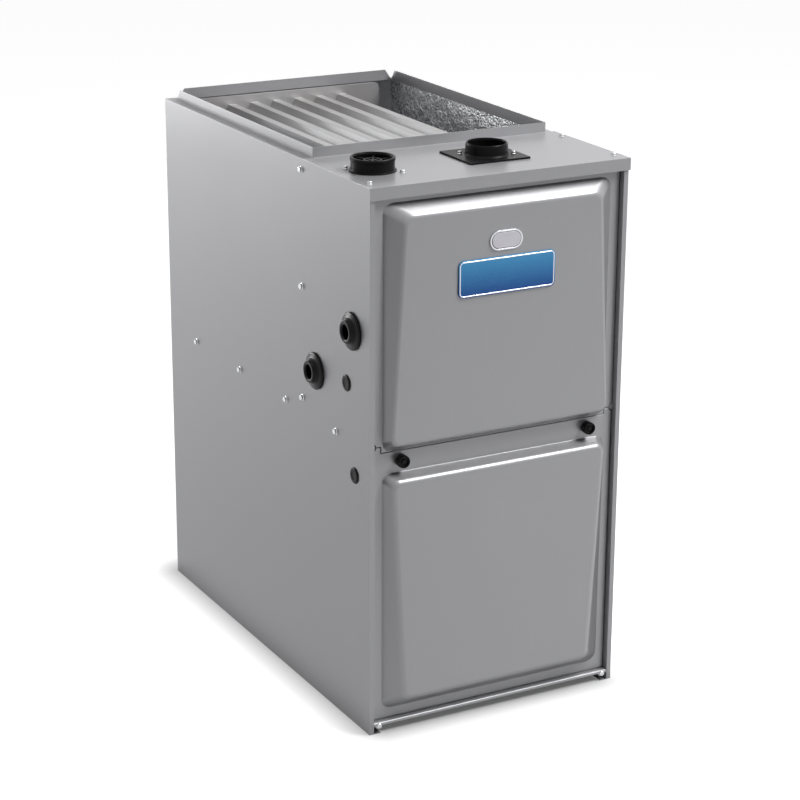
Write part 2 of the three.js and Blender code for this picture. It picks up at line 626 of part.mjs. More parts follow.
function holePlug({ radius, hole, stand, inner }) {
  const { bevel, wall, behind } = PLUG_RIM;
  const neck = hole - SEAM;
  return turned('x', [0, 0, 0], [
    [0, -stand - SEAM],
    [radius - bevel, -stand - SEAM],
    [radius, -SEAM],
    [neck, -SEAM],
    [neck, SHEET + SEAM],
    [inner, SHEET + SEAM],
    [neck - wall, SHEET + behind],
    [neck - 2 * wall, SHEET + behind],
    [neck - 2 * wall, 0],
    [0, 0],
  ], 12);
}

for (const level of ['upper', 'lower']) {
  const [grommetSetback, grommetZ] = SIDE_GROMMETS[level];
  const [plugSetback, plugZ] = SIDE_PLUGS[level];
  const leftGrommet = assembly(-HALF_WIDTH, FRONT + grommetSetback, grommetZ);
  place(`${level}_pipe_grommet`, grommet(), blackRubber(), leftGrommet);
  const leftPlug = assembly(-HALF_WIDTH, FRONT + plugSetback, plugZ);
  place(`${level}_hole_plug`, holePlug(PLUG), blackPlastic(), leftPlug);
  const rightCover = assembly(HALF_WIDTH, FRONT + grommetSetback, grommetZ);
  rightCover.rotation.z = Math.PI;
  place(`${level}_right_cover_plug`, holePlug(COVER_PLUG), blackPlastic(), rightCover);
}

// ---- Vent collars on the top cover: z is 0 on the cover ----

function intakeCollar() {
  const { outer, bore, spigot, spigotLength } = COLLAR;
  const { height } = INTAKE;
  const foot = COLLAR_FOOT;
  const lip = COLLAR_LIP;
  const body = turned('z', [0, 0, 0], [
    [bore, -spigotLength],
    [spigot, -spigotLength],
    [spigot, SEAM],
    [outer + foot.reach, SEAM],
    [outer + foot.reach, foot.thickness],
    [outer, foot.thickness + foot.slope],
    [outer, height - lip.height - lip.bevel],
    [outer + lip.reach, height - lip.height],
    [outer + lip.reach, height],
    [bore + lip.mouth, height],
    [bore, height - lip.mouthDepth],
  ]);
  const { drop, depth, bar, ring } = INTAKE_GUARD;
  const length = [-bore - EMBED, bore + EMBED];
  const width = [-bar / 2, bar / 2];
  const barZ = [height - drop - depth, height - drop];
  const bars = join(block(length, width, barZ), block(width, length, barZ));
  return join(body, bars, pipe('z', [0, 0], ring, barZ, 10));
}

function exhaustCollar() {
  const { outer, bore, spigot, spigotLength } = COLLAR;
  const { plate, fillet, mouth, mouthDepth } = EXHAUST_SLEEVE;
  const base = SEAM + plate;
  const top = base + EXHAUST.height;
  const plateX = EXHAUST.plate.map((edge) => edge - EXHAUST.x);
  const halfDepth = EXHAUST.plateDepth / 2;
  const sleeve = turned('z', [0, 0, 0], [
    [bore, -spigotLength],
    [spigot, -spigotLength],
    [spigot, SEAM],
    [outer + fillet[0], base],
    [outer, base + fillet[1]],
    [outer, top],
    [bore + mouth, top],
    [bore, top - mouthDepth],
  ]);
  return cut(
    join(block(plateX, [-halfDepth, halfDepth], [SEAM, base]), sleeve),
    rod('z', [0, 0], bore, beyond([-spigotLength, top])),
  );
}

place('intake_collar', intakeCollar(), blackPlastic(), assembly(INTAKE_X, INTAKE_Y, CABINET_HEIGHT));
place('exhaust_collar', exhaustCollar(), blackPlastic(), assembly(EXHAUST.x, EXHAUST_Y, CABINET_HEIGHT));

// ---- Doors: y is 0 on the front face of the door flange ----

function doorSkin(outline, pressing, face) {
  const pan = cut(
    prism('y', outline, [0, DOOR_HEM]),
    prism('y', inset(outline, SHEET), [SHEET, DOOR_HEM + OVERCUT]),
  );
  const base = softCorners(pressing, PRESSING_CORNER);
  const front = softCorners(face, FACE_CORNER);
  const baseInside = softCorners(inset(pressing, SHEET), PRESSING_CORNER - SHEET);
  const frontInside = softCorners(inset(face, SHEET), FACE_CORNER - SHEET);
  return cut(
    join(pan, tapered(base, front, [SHEET, -PRESSING_DEPTH])),
    tapered(baseInside, frontInside, [2 * SHEET, SHEET - PRESSING_DEPTH]),
  );
}

const reliefs = (z) => [-DOOR_HALF, DOOR_HALF].map((x) =>
  rod('y', [x, z], RELIEF_RADIUS, beyond([0, DOOR_HEM])));
function trapezium({ topInset, bottomInset }, bottom, top) {
  const [topHalf, bottomHalf] = [DOOR_HALF - topInset, DOOR_HALF - bottomInset];
  return [[-bottomHalf, bottom], [bottomHalf, bottom], [topHalf, top], [-topHalf, top]];
}

const EAR_INSIDE = DOOR_HALF - EAR_WIDTH;
const EAR_TOP = DOOR_SPLIT + EAR_HEIGHT;

function upperDoor() {
  const bottom = DOOR_SPLIT + DOOR_GAP;
  const earLine = EAR_TOP + DOOR_GAP;
  const earSide = EAR_INSIDE - DOOR_GAP;
  const outline = [
    [-DOOR_HALF, earLine],
    [-earSide, earLine],
    [-earSide, bottom],
    [earSide, bottom],
    [earSide, earLine],
    [DOOR_HALF, earLine],
    [DOOR_HALF, UPPER_DOOR_TOP],
    [-DOOR_HALF, UPPER_DOOR_TOP],
  ];
  const { sideInset, bottomInset, topInset } = UPPER_PRESSING;
  const pressing = rectangle(
    [-earSide + sideInset, earSide - sideInset],
    [bottom + bottomInset, UPPER_DOOR_TOP - topInset],
  );
  const face = trapezium(UPPER_FACE, bottom + UPPER_FACE.bottomRise, UPPER_DOOR_TOP - UPPER_FACE.topDrop);
  const { width, height, drop, rim } = SIGHT_GLASS;
  const window = capsuleShape([0, CABINET_HEIGHT - drop], width - rim, height - rim);
  return cut(
    doorSkin(outline, pressing, face),
    ...reliefs(EAR_TOP),
    prism('y', window, beyond([-PRESSING_DEPTH, SHEET - PRESSING_DEPTH]), 4),
  );
}

function lowerDoor() {
  const outline = [
    [-DOOR_HALF, LOWER_DOOR_BOTTOM],
    [DOOR_HALF, LOWER_DOOR_BOTTOM],
    [DOOR_HALF, EAR_TOP],
    [EAR_INSIDE, EAR_TOP],
    [EAR_INSIDE, DOOR_SPLIT],
    [-EAR_INSIDE, DOOR_SPLIT],
    [-EAR_INSIDE, EAR_TOP],
    [-DOOR_HALF, EAR_TOP],
  ];
  const { margin, bottomInset, topInset } = LOWER_PRESSING;
  const half = DOOR_HALF - margin;
  const pressing = rectangle([-half, half], [LOWER_DOOR_BOTTOM + bottomInset, DOOR_SPLIT - topInset]);
  const { bottomRise, topDrop } = LOWER_FACE;
  const face = trapezium(LOWER_FACE, LOWER_DOOR_BOTTOM + bottomRise, DOOR_SPLIT - topDrop);
  const screwHoles = [-SCREW_X, SCREW_X].map((x) =>
    rod('y', [x, SCREW_Z], clearRadius(THUMB_SCREW.shank + SEAM), beyond([0, SHEET])));
  return cut(doorSkin(outline, pressing, face), ...reliefs(EAR_TOP), ...screwHoles);
}

function sightGlassRing() {
  const { width, height, drop, rim, stand } = SIGHT_GLASS;
  const z = CABINET_HEIGHT - drop;
  const back = -PRESSING_DEPTH - SEAM;
  return cut(
    prism('y', capsuleShape([0, z], width, height), [back - stand, back], 4),
    prism('y', capsuleShape([0, z], width - 2 * rim, height - 2 * rim), beyond([back - stand, back]), 4),
  );
}

function sightGlass() {
  const { width, height, drop, rim, stand } = SIGHT_GLASS;
  const edge = 2 * (rim + SEAM);
  const lens = capsuleShape([0, CABINET_HEIGHT - drop], width - edge, height - edge);
  return prism('y', lens, [-PRESSING_DEPTH - stand, SHEET - PRESSING_DEPTH], 4);
}

function badgePlate() {
  const { width, height, drop, corner, thickness } = BADGE;
  const z = CABINET_HEIGHT - drop;
  const outline = softCorners(rectangle([-width / 2, width / 2], [z - height / 2, z + height / 2]), corner);
  return prism('y', outline, [-PRESSING_DEPTH - SEAM - thickness, -PRESSING_DEPTH - SEAM]);
}

// A knurled knob in front of the door flange and a shank through it.
function thumbScrew() {
  const { radius, length, shank, reach } = THUMB_SCREW;
  const { bevel, neck, neckLength, recess, recessDepth, centre } = THUMB_SCREW_HEAD;
  return turned('y', [0, 0, 0], [
    [0, -length],
    [centre, -length],
    [centre, -length + recessDepth],
    [recess, -length + recessDepth],
    [recess, -length],
    [radius - bevel, -length],
    [radius, -length + bevel],
    [radius, -neckLength],
    [neck, -SEAM],
    [shank, -SEAM],
    [shank, reach],
    [0, reach],
  ], 12);
}

const doorPlane = assembly(0, DOOR_PLANE, 0);
place('upper_door', upperDoor(), paintedSteel(), doorPlane);
place('sight_glass_ring', sightGlassRing(), finish(0xc4c6ca, 0.2, 1), doorPlane);
place('sight_glass', sightGlass(), finish(0xb0afb6, 0.15, 0), doorPlane);
place('badge_plate', badgePlate(), finish(0x2a6fa8, 0.35, 0), doorPlane);
place('lower_door', lowerDoor(), paintedSteel(), doorPlane);
for (const [name, side] of [['left_thumb_screw', -1], ['right_thumb_screw', 1]]) {
  place(name, thumbScrew(), blackPlastic(), assembly(side * SCREW_X, 0, SCREW_Z, doorPlane));
}

// ---- Heat exchanger ----

function heatTubePlaces() {
  const first = -HEAT_TUBE.pitch * (HEAT_TUBE_COUNT - 1) / 2;
  return Array.from({ length: HEAT_TUBE_COUNT }, (_, i) => first + i * HEAT_TUBE.pitch);
}

// One tube in four passes, with both ends in the panel behind the burners: x is 0 on its own plane.
function heatTube() {
  const { radius, wall, pass, rearRoom, toFront } = HEAT_TUBE;
  const start = VEST_Y - toFront;
  const front = VEST_Y + SHEET + radius + VEST_FLANGE;
  const rear = BACK - rearRoom;
  const corners = [[0, start, TUBE_TOP_Z]];
  for (let turn = 0; turn < TUBE_PASSES - 1; turn += 1) {
    const y = turn % 2 === 0 ? rear : front;
    corners.push([0, y, TUBE_TOP_Z - turn * pass], [0, y, TUBE_TOP_Z - (turn + 1) * pass]);
  }
  corners.push([0, start, TUBE_BOTTOM_Z]);
  const section = circleShape([0, 0], radius);
  section.holes.push(new THREE.Path().absarc(0, 0, radius - wall, 0, Math.PI * 2, true));
  return bentPipe(new PipeRun(corners, pass / 2, 3), section, 8);
}

// A ribbed sheet over the tubes that turns up against the back wall.
function baffle() {
  const { drop, ribs, pitch, rise, base, crest, skirt } = BAFFLE;
  const valley = CABINET_HEIGHT - drop;
  const path = [[-ribs * pitch / 2, valley - skirt]];
  for (let rib = 0; rib < ribs; rib += 1) {
    const x = (rib + 0.5 - ribs / 2) * pitch;
    if (rib > 0) path.push([x - base / 2, valley]);
    path.push([x - crest / 2, valley + rise], [x + crest / 2, valley + rise]);
    if (rib < ribs - 1) path.push([x + base / 2, valley]);
  }
  path.push([ribs * pitch / 2, valley - skirt]);
  const rearY = BACK - REAR_LEDGE - SHEET - BAFFLE_REAR.gap;
  const top = LEDGE_TOP - BAFFLE_REAR.drop;
  const half = HALF_WIDTH - BAFFLE_REAR.fromSide;
  const rear = softCorners(
    rectangle([-half, half], [top - BAFFLE_REAR.height, top]),
    BAFFLE_REAR.corner,
  );
  return join(
    prism('y', bentSheet(path), [VEST_Y + SHEET + SEAM, rearY - SHEET]),
    prism('y', rear, [rearY - SHEET, rearY]),
  );
}

function coilBottom() {
  return DECK_TOP + SEAM + COIL.foot;
}
function coilTop() {
  return coilBottom() + COIL.height;
}

// A finned block: one long fin folded back and forth, open from below to above, on two end plates.
function condensingCoil() {
  const { sideGap, fins, fin, frontGap, rearGap, end } = COIL;
  const half = INNER_HALF - sideGap;
  const y = [VEST_Y + SHEET + frontGap, INSIDE_BACK - rearGap];
  const pitch = (2 * half) / fins;
  const path = [[-half, y[0]]];
  for (let i = 0; i < fins; i += 1) {
    const turn = y[(i + 1) % 2];
    path.push([-half + i * pitch, turn], [-half + (i + 1) * pitch, turn]);
  }
  path.push([half, y[(fins + 1) % 2]]);
  const folds = prism('z', bentSheet(path, fin), [coilBottom(), coilTop()]);
  const endPlate = (x) => block([x - end / 2, x + end / 2], y, [DECK_TOP + SEAM, coilTop()]);
  return join(folds, endPlate(-half), endPlate(half));
}

function hotCollectorBox() {
  const { half, depth, overlap } = HOT_BOX;
  const back = VEST_Y - SEAM;
  const z = [HOT_BOX_BOTTOM, TUBE_BOTTOM_Z + HEAT_TUBE.radius + overlap];
  return cut(
    block([-half, half], [back - depth, back], z),
    block([-half + SHEET, half - SHEET], [back - depth + SHEET, back + OVERCUT], beyond(z, -SHEET)),
  );
}

function drainCollectorBox() {
  const { half, depth, wall } = DRAIN_BOX;
  const back = VEST_Y - SEAM;
  const z = [DECK_TOP + SEAM, DRAIN_BOX_TOP];
  const front = back - depth;
  return cut(
    block([-half, half], [front, back], z),
    block([-half + wall, half - wall], [front + wall, back + OVERCUT], beyond(z, -wall)),
    rod('y', [inducerX(), INDUCER_Z], INDUCER.inlet, beyond([front, front + wall])),
  );
}

function condensateTrap() {
  const { width, depth, height, wallGap, toVest } = TRAP;
  const right = -DRAIN_BOX.half - SEAM;
  const left = Math.max(-INNER_HALF + wallGap, right - width);
  const middle = (left + right) / 2;
  const back = VEST_Y - SEAM - toVest;
  const front = back - depth;
  const bottom = DECK_TOP + SEAM;
  const top = bottom + height;
  const outletY = [front - TRAP_OUTLET.length, front + EMBED];
  return join(
    block([left, right], [front, back], [bottom, top]),
    rod('y', [middle, bottom + TRAP_OUTLET.rise], TRAP_OUTLET.radius, outletY),
    rod('z', [middle, (front + back) / 2], TRAP_CAP.radius, [top - EMBED, top + TRAP_CAP.height]),
  );
}

for (const [i, x] of heatTubePlaces().entries()) {
  place(`heat_tube_${i + 1}`, heatTube(), aluminised(), assembly(x, 0, 0));
}
place('heat_exchanger_baffle', baffle(), aluminised());
place('condensing_coil', condensingCoil(), aluminised());
place('hot_collector_box', hotCollectorBox(), galvanised());
place('drain_collector_box', drainCollectorBox(), blackPlastic());
place('condensate_trap', condensateTrap(), finish(0xb9bab6, 0.5, 0));

// ---- Burners and gas train ----

function burnerBox() {
  const { half, height, depth } = BURNER_BOX;
  const y = [VEST_Y - SEAM - depth, VEST_Y - SEAM];
  const z = [TUBE_TOP_Z - height / 2, TUBE_TOP_Z + height / 2];
  const sleeve = cut(
    block([-half, half], y, z),
    block(beyond([-half, half], -SHEET), beyond(y), beyond(z, -SHEET)),
  );
  const hole = (toVest, radius, walls) =>
    rod('x', [VEST_Y - toVest, TUBE_TOP_Z], clearRadius(radius + SEAM), beyond(walls));
  return cut(
    sleeve,
    hole(PROBE.toVest, PROBE.radius, [-half, half]),
    hole(MANIFOLD.toVest, MANIFOLD.radius, [-half, -half + SHEET]),
  );
}

// The three burners are pressed as one piece with the bridge that carries the flame across them.
function burnerSet() {
  const { radius, wall, length, flare, flareLength, toVest } = BURNER;
  const end = VEST_Y - toVest;
  const middle = end - length / 2;
  const half = BURNER_BOX.half - SHEET - SEAM;
  const bridgeY = [middle, middle + SHEET];
  const burner = (x) => turned('y', [x, 0, TUBE_TOP_Z], [
    [radius - wall, end - length],
    [radius, end - length],
    [radius, end - flareLength],
    [flare, end],
    [flare - wall, end],
    [radius - wall, end - flareLength],
  ], 10);
  const bore = (x) => rod('y', [x, TUBE_TOP_Z], radius - wall / 2, beyond(bridgeY), 10);
  const bridge = block([-half, half], bridgeY, [TUBE_TOP_Z - BURNER_BRIDGE, TUBE_TOP_Z + BURNER_BRIDGE]);
  return join(cut(bridge, ...heatTubePlaces().map(bore)), ...heatTubePlaces().map(burner));
}

function gasManifold() {
  const y = VEST_Y - MANIFOLD.toVest;
  const { right, radius, bend, drop } = MANIFOLD;
  const corners = [[VALVE_X, y, TUBE_TOP_Z - drop], [VALVE_X, y, TUBE_TOP_Z], [right, y, TUBE_TOP_Z]];
  const pipeBody = bentPipe(new PipeRun(corners, bend, 4), circleShape([0, 0], radius), 12);
  const spud = (x) => rod('y', [x, TUBE_TOP_Z], SPUD.radius, [y, y + radius + SPUD.reach], 10);
  return join(pipeBody, ...heatTubePlaces().map(spud));
}

function valveTop() {
  return TUBE_TOP_Z - MANIFOLD.drop - SEAM - VALVE_OUTLET.length;
}
function valveFront() {
  return VEST_Y - MANIFOLD.toVest - GAS_VALVE.depth / 2;
}

function gasValve() {
  const { width, depth, height } = GAS_VALVE;
  const y = VEST_Y - MANIFOLD.toVest;
  const z = [valveTop() - height, valveTop()];
  const right = VALVE_X + width / 2;
  const inletZ = [z[0] - VALVE_INLET.length, z[0] + EMBED];
  const solenoidX = [right - EMBED, right + SOLENOID.length];
  return join(
    block([VALVE_X - width / 2, right], [y - depth / 2, y + depth / 2], z),
    rod('z', [VALVE_X, y], MANIFOLD.radius + VALVE_OUTLET.wall, [z[1] - EMBED, z[1] + VALVE_OUTLET.length]),
    pipe('z', [VALVE_X, y], [VALVE_INLET.bore, VALVE_INLET.radius], inletZ),
    rod('x', [y - SOLENOID.toFront, z[1] - height / 3], SOLENOID.radius, solenoidX),
  );
}

// A small knob with a grip bar, turned a quarter to shut the gas: y is 0 on the valve's front.
function valveKnob() {
  const { radius, height, base, grip, gripInset } = VALVE_KNOB;
  const baseFront = -SEAM - base;
  const gripY = [-SEAM - height, baseFront + EMBED];
  return join(
    rod('y', [0, 0], radius, [baseFront, -SEAM], 20),
    block([-grip / 2, grip / 2], gripY, [-radius + gripInset, radius - gripInset]),
  );
}

// A rod on a screwed plate, outside one end wall of the burner box: side is -1 left, 1 right.
function flameProbe(side) {
  const { radius, plate, toVest, tipPast, outside, sleeve, sleeveLength } = PROBE;
  const wallX = BURNER_BOX.half + SEAM;
  const tip = heatTubePlaces().at(-1) - tipPast;
  const y = VEST_Y - toVest;
  const span = (from, to) => onSide(side, [from, to]);
  const plateY = [y - plate / 2, y + plate / 4];
  return join(
    rod('x', [y, TUBE_TOP_Z], radius, span(tip, wallX + outside), 10),
    rod('x', [y, TUBE_TOP_Z], radius + sleeve, span(wallX, wallX + sleeveLength), 10),
    block(span(wallX, wallX + SHEET), plateY, [TUBE_TOP_Z - plate / 2, TUBE_TOP_Z + plate / 2]),
  );
}

function rolloutBottom() {
  return TUBE_TOP_Z + BURNER_BOX.height / 2 + SEAM;
}
function rolloutY() {
  return VEST_Y - BURNER_BOX.depth / 2;
}

function rolloutSwitch() {
  const { x, radius, height, foot } = ROLLOUT;
  const [footX, footY] = foot;
  const { travel, depth } = RESET_BUTTON;
  const [y, z] = [rolloutY(), rolloutBottom()];
  const plate = block([x - footX / 2, x + footX / 2], [y - footY / 2, y + footY / 2], [z, z + SHEET]);
  const well = [z + height - travel - depth, z + height + OVERCUT];
  return cut(
    join(rod('z', [x, y], radius, [z, z + height]), plate),
    rod('z', [x, y], clearRadius(RESET_BUTTON.radius + SEAM, 12), well, 12),
  );
}

function rolloutButton() {
  const { radius, depth, stand } = RESET_BUTTON;
  const top = rolloutBottom() + ROLLOUT.height;
  return rod('z', [ROLLOUT.x, rolloutY()], radius, [top - depth + SEAM, top + stand], 12);
}

function limitSwitch() {
  const { z, radius, height, probe, reach } = LIMIT;
  const back = VEST_Y - SEAM;
  return join(
    rod('y', [LIMIT_X, z], radius, [back - height, back]),
    rod('y', [LIMIT_X, z], probe, [back - EMBED, VEST_Y + reach], 10),
  );
}

place('burner_box', burnerBox(), aluminised());
place('burner_set', burnerSet(), aluminised());
place('gas_manifold', gasManifold(), finish(0x3a3b3d, 0.5, 0.8));
place('gas_valve', gasValve(), finish(0x8b8d90, 0.45, 0.8));
const knobPlace = assembly(VALVE_X, valveFront(), valveTop() - GAS_VALVE.height / 2);
place('gas_valve_knob', valveKnob(), blackPlastic(), knobPlace);
place('flame_sensor', flameProbe(-1), finish(0xd9d6cc, 0.5, 0));
place('hot_surface_igniter', flameProbe(1), finish(0xd9d6cc, 0.5, 0));
place('rollout_switch', rolloutSwitch(), blackPlastic());
place('rollout_reset_button', rolloutButton(), finish(0xa32020, 0.4, 0));
place('limit_switch', limitSwitch(), blackPlastic());

// ---- Vent inducer: y is 0 on the wall between the housing and the drain collector box ----

function inducerX() {
  return EXHAUST.x - INDUCER.radius + VENT.socket - INDUCER.outletInset;
}
function inducerBack() {
  return VEST_Y - 2 * SEAM - DRAIN_BOX.depth;
}

function inducerHousing() {
  const { radius, depth, inlet, wall, shaftRoom } = INDUCER;
  const outletX = EXHAUST.x - inducerX();
  const outlet = [outletX, EXHAUST_Y - inducerBack()];
  const socketZ = [INDUCER_MOTOR.radius + INDUCER_MOTOR.toSocket, SOCKET_TOP - INDUCER_Z];
  const seatZ = socketZ[1] - VENT.intoSocket - SEAM;
  const neckX = [outletX - VENT.outer + EMBED, radius];
  const body = join(
    rod('y', [0, 0], radius, [-depth, 0], 24),
    block(neckX, [-depth, 0], [0, socketZ[0] + SOCKET_THROAT.step + wall]),
    rod('z', outlet, VENT.socket, socketZ, 20),
  );
  return cut(
    body,
    rod('y', [0, 0], radius - wall, [-depth + wall, -wall], 24),
    rod('y', [0, 0], inlet, beyond([-wall, 0])),
    rod('y', [0, 0], clearRadius(INDUCER_SHAFT + shaftRoom), beyond([-depth, -depth + wall])),
    rod('z', outlet, VENT.socket - SOCKET_THROAT.inset, [0, seatZ + EMBED], 20),
    rod('z', outlet, VENT.outer + SEAM, [seatZ, socketZ[1] + OVERCUT], 20),
  );
}

function inducerMotor() {
  const { radius, length, bevel } = INDUCER_MOTOR;
  const y = [-INDUCER.depth - SEAM - length, -INDUCER.depth - SEAM];
  const can = turned('y', [0, 0, 0], [
    [0, y[0]],
    [radius - bevel[0], y[0]],
    [radius, y[0] + bevel[1]],
    [radius, y[1]],
    [0, y[1]],
  ], 20);
  return cut(can, shaftBore('y', INDUCER_SHAFT, y));
}

// A back plate with straight vanes on a hub.
function inducerWheel() {
  const { radius, width, vanes, plate, hub, vane, vaneFrom, rim } = INDUCER_WHEEL;
  const middle = -INDUCER.depth / 2;
  const y = [middle - width / 2, middle + width / 2];
  const blade = (i) => {
    const geometry = new THREE.BoxGeometry(radius - rim - vaneFrom + EMBED, width, vane);
    geometry.translate((radius - rim + vaneFrom - EMBED) / 2, middle, 0);
    return solidOf(geometry.rotateY((i / vanes) * Math.PI * 2));
  };
  const wheel = join(
    rod('y', [0, 0], radius, [y[0], y[0] + plate], 20),
    rod('y', [0, 0], hub, y, 12),
    ...Array.from({ length: vanes }, (_, i) => blade(i)),
  );
  return cut(wheel, shaftBore('y', INDUCER_SHAFT, y));
}

function inducerShaft() {
  const wheelBack = (INDUCER_WHEEL.width - INDUCER.depth) / 2;
  return rod('y', [0, 0], INDUCER_SHAFT, [fanSpan()[0] - COOLING_FAN.shaftPast, wheelBack], 12);
}

function fanSpan() {
  const front = -INDUCER.depth - SEAM - INDUCER_MOTOR.length - COOLING_FAN.gap;
  return [front - COOLING_FAN.width, front];
}

function coolingFan() {
  const { radius, blades, hub } = COOLING_FAN;
  const { thickness, chord, pitchAngle, from } = FAN_BLADE;
  const y = fanSpan();
  const blade = (i) => {
    const geometry = new THREE.BoxGeometry(radius - from, thickness, chord);
    geometry.rotateX(pitchAngle).translate((radius + from) / 2, (y[0] + y[1]) / 2, 0);
    return solidOf(geometry.rotateY((i / blades) * Math.PI * 2));
  };
  const fan = join(rod('y', [0, 0], hub, y, 12), ...Array.from({ length: blades }, (_, i) => blade(i)));
  return cut(fan, shaftBore('y', INDUCER_SHAFT, y));
}

function ventPipe() {
  const bottom = SOCKET_TOP - VENT.intoSocket;
  const top = CABINET_HEIGHT - COLLAR.spigotLength + VENT.intoCollar;
  return pipe('z', [EXHAUST.x, EXHAUST_Y], [VENT.outer - VENT.wall, VENT.outer], [bottom, top], 20);
}

// A round diaphragm switch on a bracket on the right side wall.
function pressureSwitch() {
  const { radius, depth, z, setback, toWall, rim, rimReach } = PRESSURE_SWITCH;
  const port = SWITCH_PORT;
  const y = FRONT + setback;
  const far = INNER_HALF - toWall;
  const near = far - depth;
  const middle = (near + far) / 2;
  const bracketY = [y - SWITCH_BRACKET.width / 2, y + SWITCH_BRACKET.width / 2];
  const bracketZ = [z - SWITCH_BRACKET.height / 2, z + SWITCH_BRACKET.height / 2];
  return join(
    rod('x', [y, z], radius, [middle - rim / 2, middle + rim / 2], 20),
    rod('x', [y, z], radius - rimReach, [near, far], 20),
    block([far - EMBED, INNER_HALF], bracketY, bracketZ),
    rod('z', [near + port.inset, y], port.radius, [z - radius - port.length, z - radius + port.overlap], 10),
  );
}

const inducer = assembly(inducerX(), inducerBack(), INDUCER_Z);
place('inducer_housing', inducerHousing(), blackPlastic(), inducer);
place('inducer_motor', inducerMotor(), galvanised(), inducer);
place('inducer_wheel', inducerWheel(), blackPlastic(), inducer);
place('inducer_shaft', inducerShaft(), finish(0x9a9ca0, 0.25, 1), inducer);
place('cooling_fan', coolingFan(), finish(0xa8aaad, 0.35, 1), inducer);
place('vent_pipe', ventPipe(), finish(0xd4d4d0, 0.45, 0));
place('pressure_switch', pressureSwitch(), finish(0x3c3d40, 0.45, 0));

// ---- Circulating blower: the shaft is the group's origin ----

function blowerOutletX() {
  const half = BLOWER.housing / 2 - SHEET - SEAM;
  return [-half, half];
}

function blowerOutletY() {
  const rear = BLOWER.y + SCROLL;
  return [rear - BLOWER_OUTLET.depth, rear];
}

// The scroll's outer face, from the outlet's front edge round the wheel to the outlet's rear edge.
function scrollPath() {
  const cutoff = BLOWER.wheel + BLOWER.toCutoff;
  const spiral = Array.from({ length: SCROLL_POINTS + 1 }, (_, i) => {
    const share = i / SCROLL_POINTS;
    const radius = cutoff + (SCROLL - cutoff) * share;
    const angle = SCROLL_START + (Math.PI * 2 - SCROLL_START) * share;
    return [radius * Math.cos(angle), radius * Math.sin(angle)];
  });
  const frontY = SCROLL - BLOWER_OUTLET.depth;
  const tongueZ = spiral[0][1] + 2 * SHEET;
  return [[frontY, outletTop()], [frontY, tongueZ], ...spiral, [SCROLL, outletTop()]];
}

function outletTop() {
  return DECK_TOP - SHEET - SEAM - BLOWER.z;
}

function blowerHousing() {
  const half = BLOWER.housing / 2;
  const path = scrollPath();
  const top = outletTop();
  const y = blowerOutletY().map((edge) => edge - BLOWER.y);
  const { flange } = BLOWER_OUTLET;
  const inlets = prism('x', circleShape([0, 0], BLOWER_INLET), beyond([-half, half]), 12);
  const cheeks = join(prism('x', path, [-half, -half + SHEET]), prism('x', path, [half - SHEET, half]));
  const rimZ = [top - SHEET, top];
  const rim = cut(
    block(beyond([-half, half], flange), beyond(y, flange), rimZ),
    block(beyond([-half, half], -SHEET), beyond(y, -SHEET), beyond(rimZ)),
  );
  return join(prism('x', bentSheet(path, -SHEET), [-half, half]), cut(cheeks, inlets), rim);
}

function blowerWheel() {
  const { wheel, width } = BLOWER;
  const { blades, chord, ring, hub, plate, rim } = WHEEL;
  const half = width / 2;
  const rings = [wheel - chord - rim, wheel];
  const blade = (i) => {
    const geometry = new THREE.BoxGeometry(width, chord, WHEEL_BLADE.thickness);
    geometry.rotateX(WHEEL_BLADE.pitchAngle).translate(0, wheel - chord / 2 - rim, 0);
    return solidOf(geometry.rotateX((i / blades) * Math.PI * 2));
  };
  const whole = join(
    pipe('x', [0, 0], rings, [-half, -half + ring], 18),
    pipe('x', [0, 0], rings, [half - ring, half], 18),
    rod('x', [0, 0], wheel - ring, [-plate / 2, plate / 2], 18),
    rod('x', [0, 0], hub, [-hub, hub], 12),
    ...Array.from({ length: blades }, (_, i) => blade(i)),
  );
  return cut(whole, shaftBore('x', BLOWER_MOTOR.shaft, [-hub, hub]));
}

function blowerMotor() {
  const { radius, from, to, bevel, shaft } = BLOWER_MOTOR;
  const can = turned('x', [0, 0, 0], [
    [0, from],
    [radius - bevel, from],
    [radius, from + bevel],
    [radius, to - bevel],
    [radius - bevel, to],
    [0, to],
  ], 20);
  return cut(can, shaftBore('x', shaft, [from, to]));
}

function blowerShaft() {
  const { from, shaft, shaftPast } = BLOWER_MOTOR;
  return rod('x', [0, 0], shaft, [from - shaftPast, WHEEL.hub], 12);
}

// A band round the motor, with arms out to the housing's inlet side.
function motorBand() {
  const { width, thickness, arms, arm, pastInlet, startTurn } = MOTOR_BAND;
  const inner = clearRadius(BLOWER_MOTOR.radius + SEAM, 24);
  const outer = inner + thickness;
  const cheek = -BLOWER.housing / 2 - SEAM;
  const reach = [outer - EMBED, BLOWER_INLET + pastInlet];
  const limb = (i) => {
    const geometry = new THREE.BoxGeometry(thickness, arm, reach[1] - reach[0]);
    geometry.translate(cheek - thickness / 2, 0, (reach[0] + reach[1]) / 2);
    return solidOf(geometry.rotateX((i / arms + startTurn) * Math.PI * 2));
  };
  const band = pipe('x', [0, 0], [inner, outer], [cheek - width, cheek], 24);
  return join(band, ...Array.from({ length: arms }, (_, i) => limb(i)));
}

const blower = assembly(0, BLOWER.y, BLOWER.z);
place('blower_housing', blowerHousing(), galvanised(), blower);
place('blower_wheel', blowerWheel(), galvanised(), blower);
place('blower_shaft', blowerShaft(), finish(0x9a9ca0, 0.25, 1), blower);
place('blower_motor', blowerMotor(), finish(0x2a2b2d, 0.5, 0.6), blower);
place('motor_band', motorBand(), galvanised(), blower);

// ---- Controls in the blower compartment ----

function panelY() {
  return FRONT + CONTROL_PANEL.setback;
}

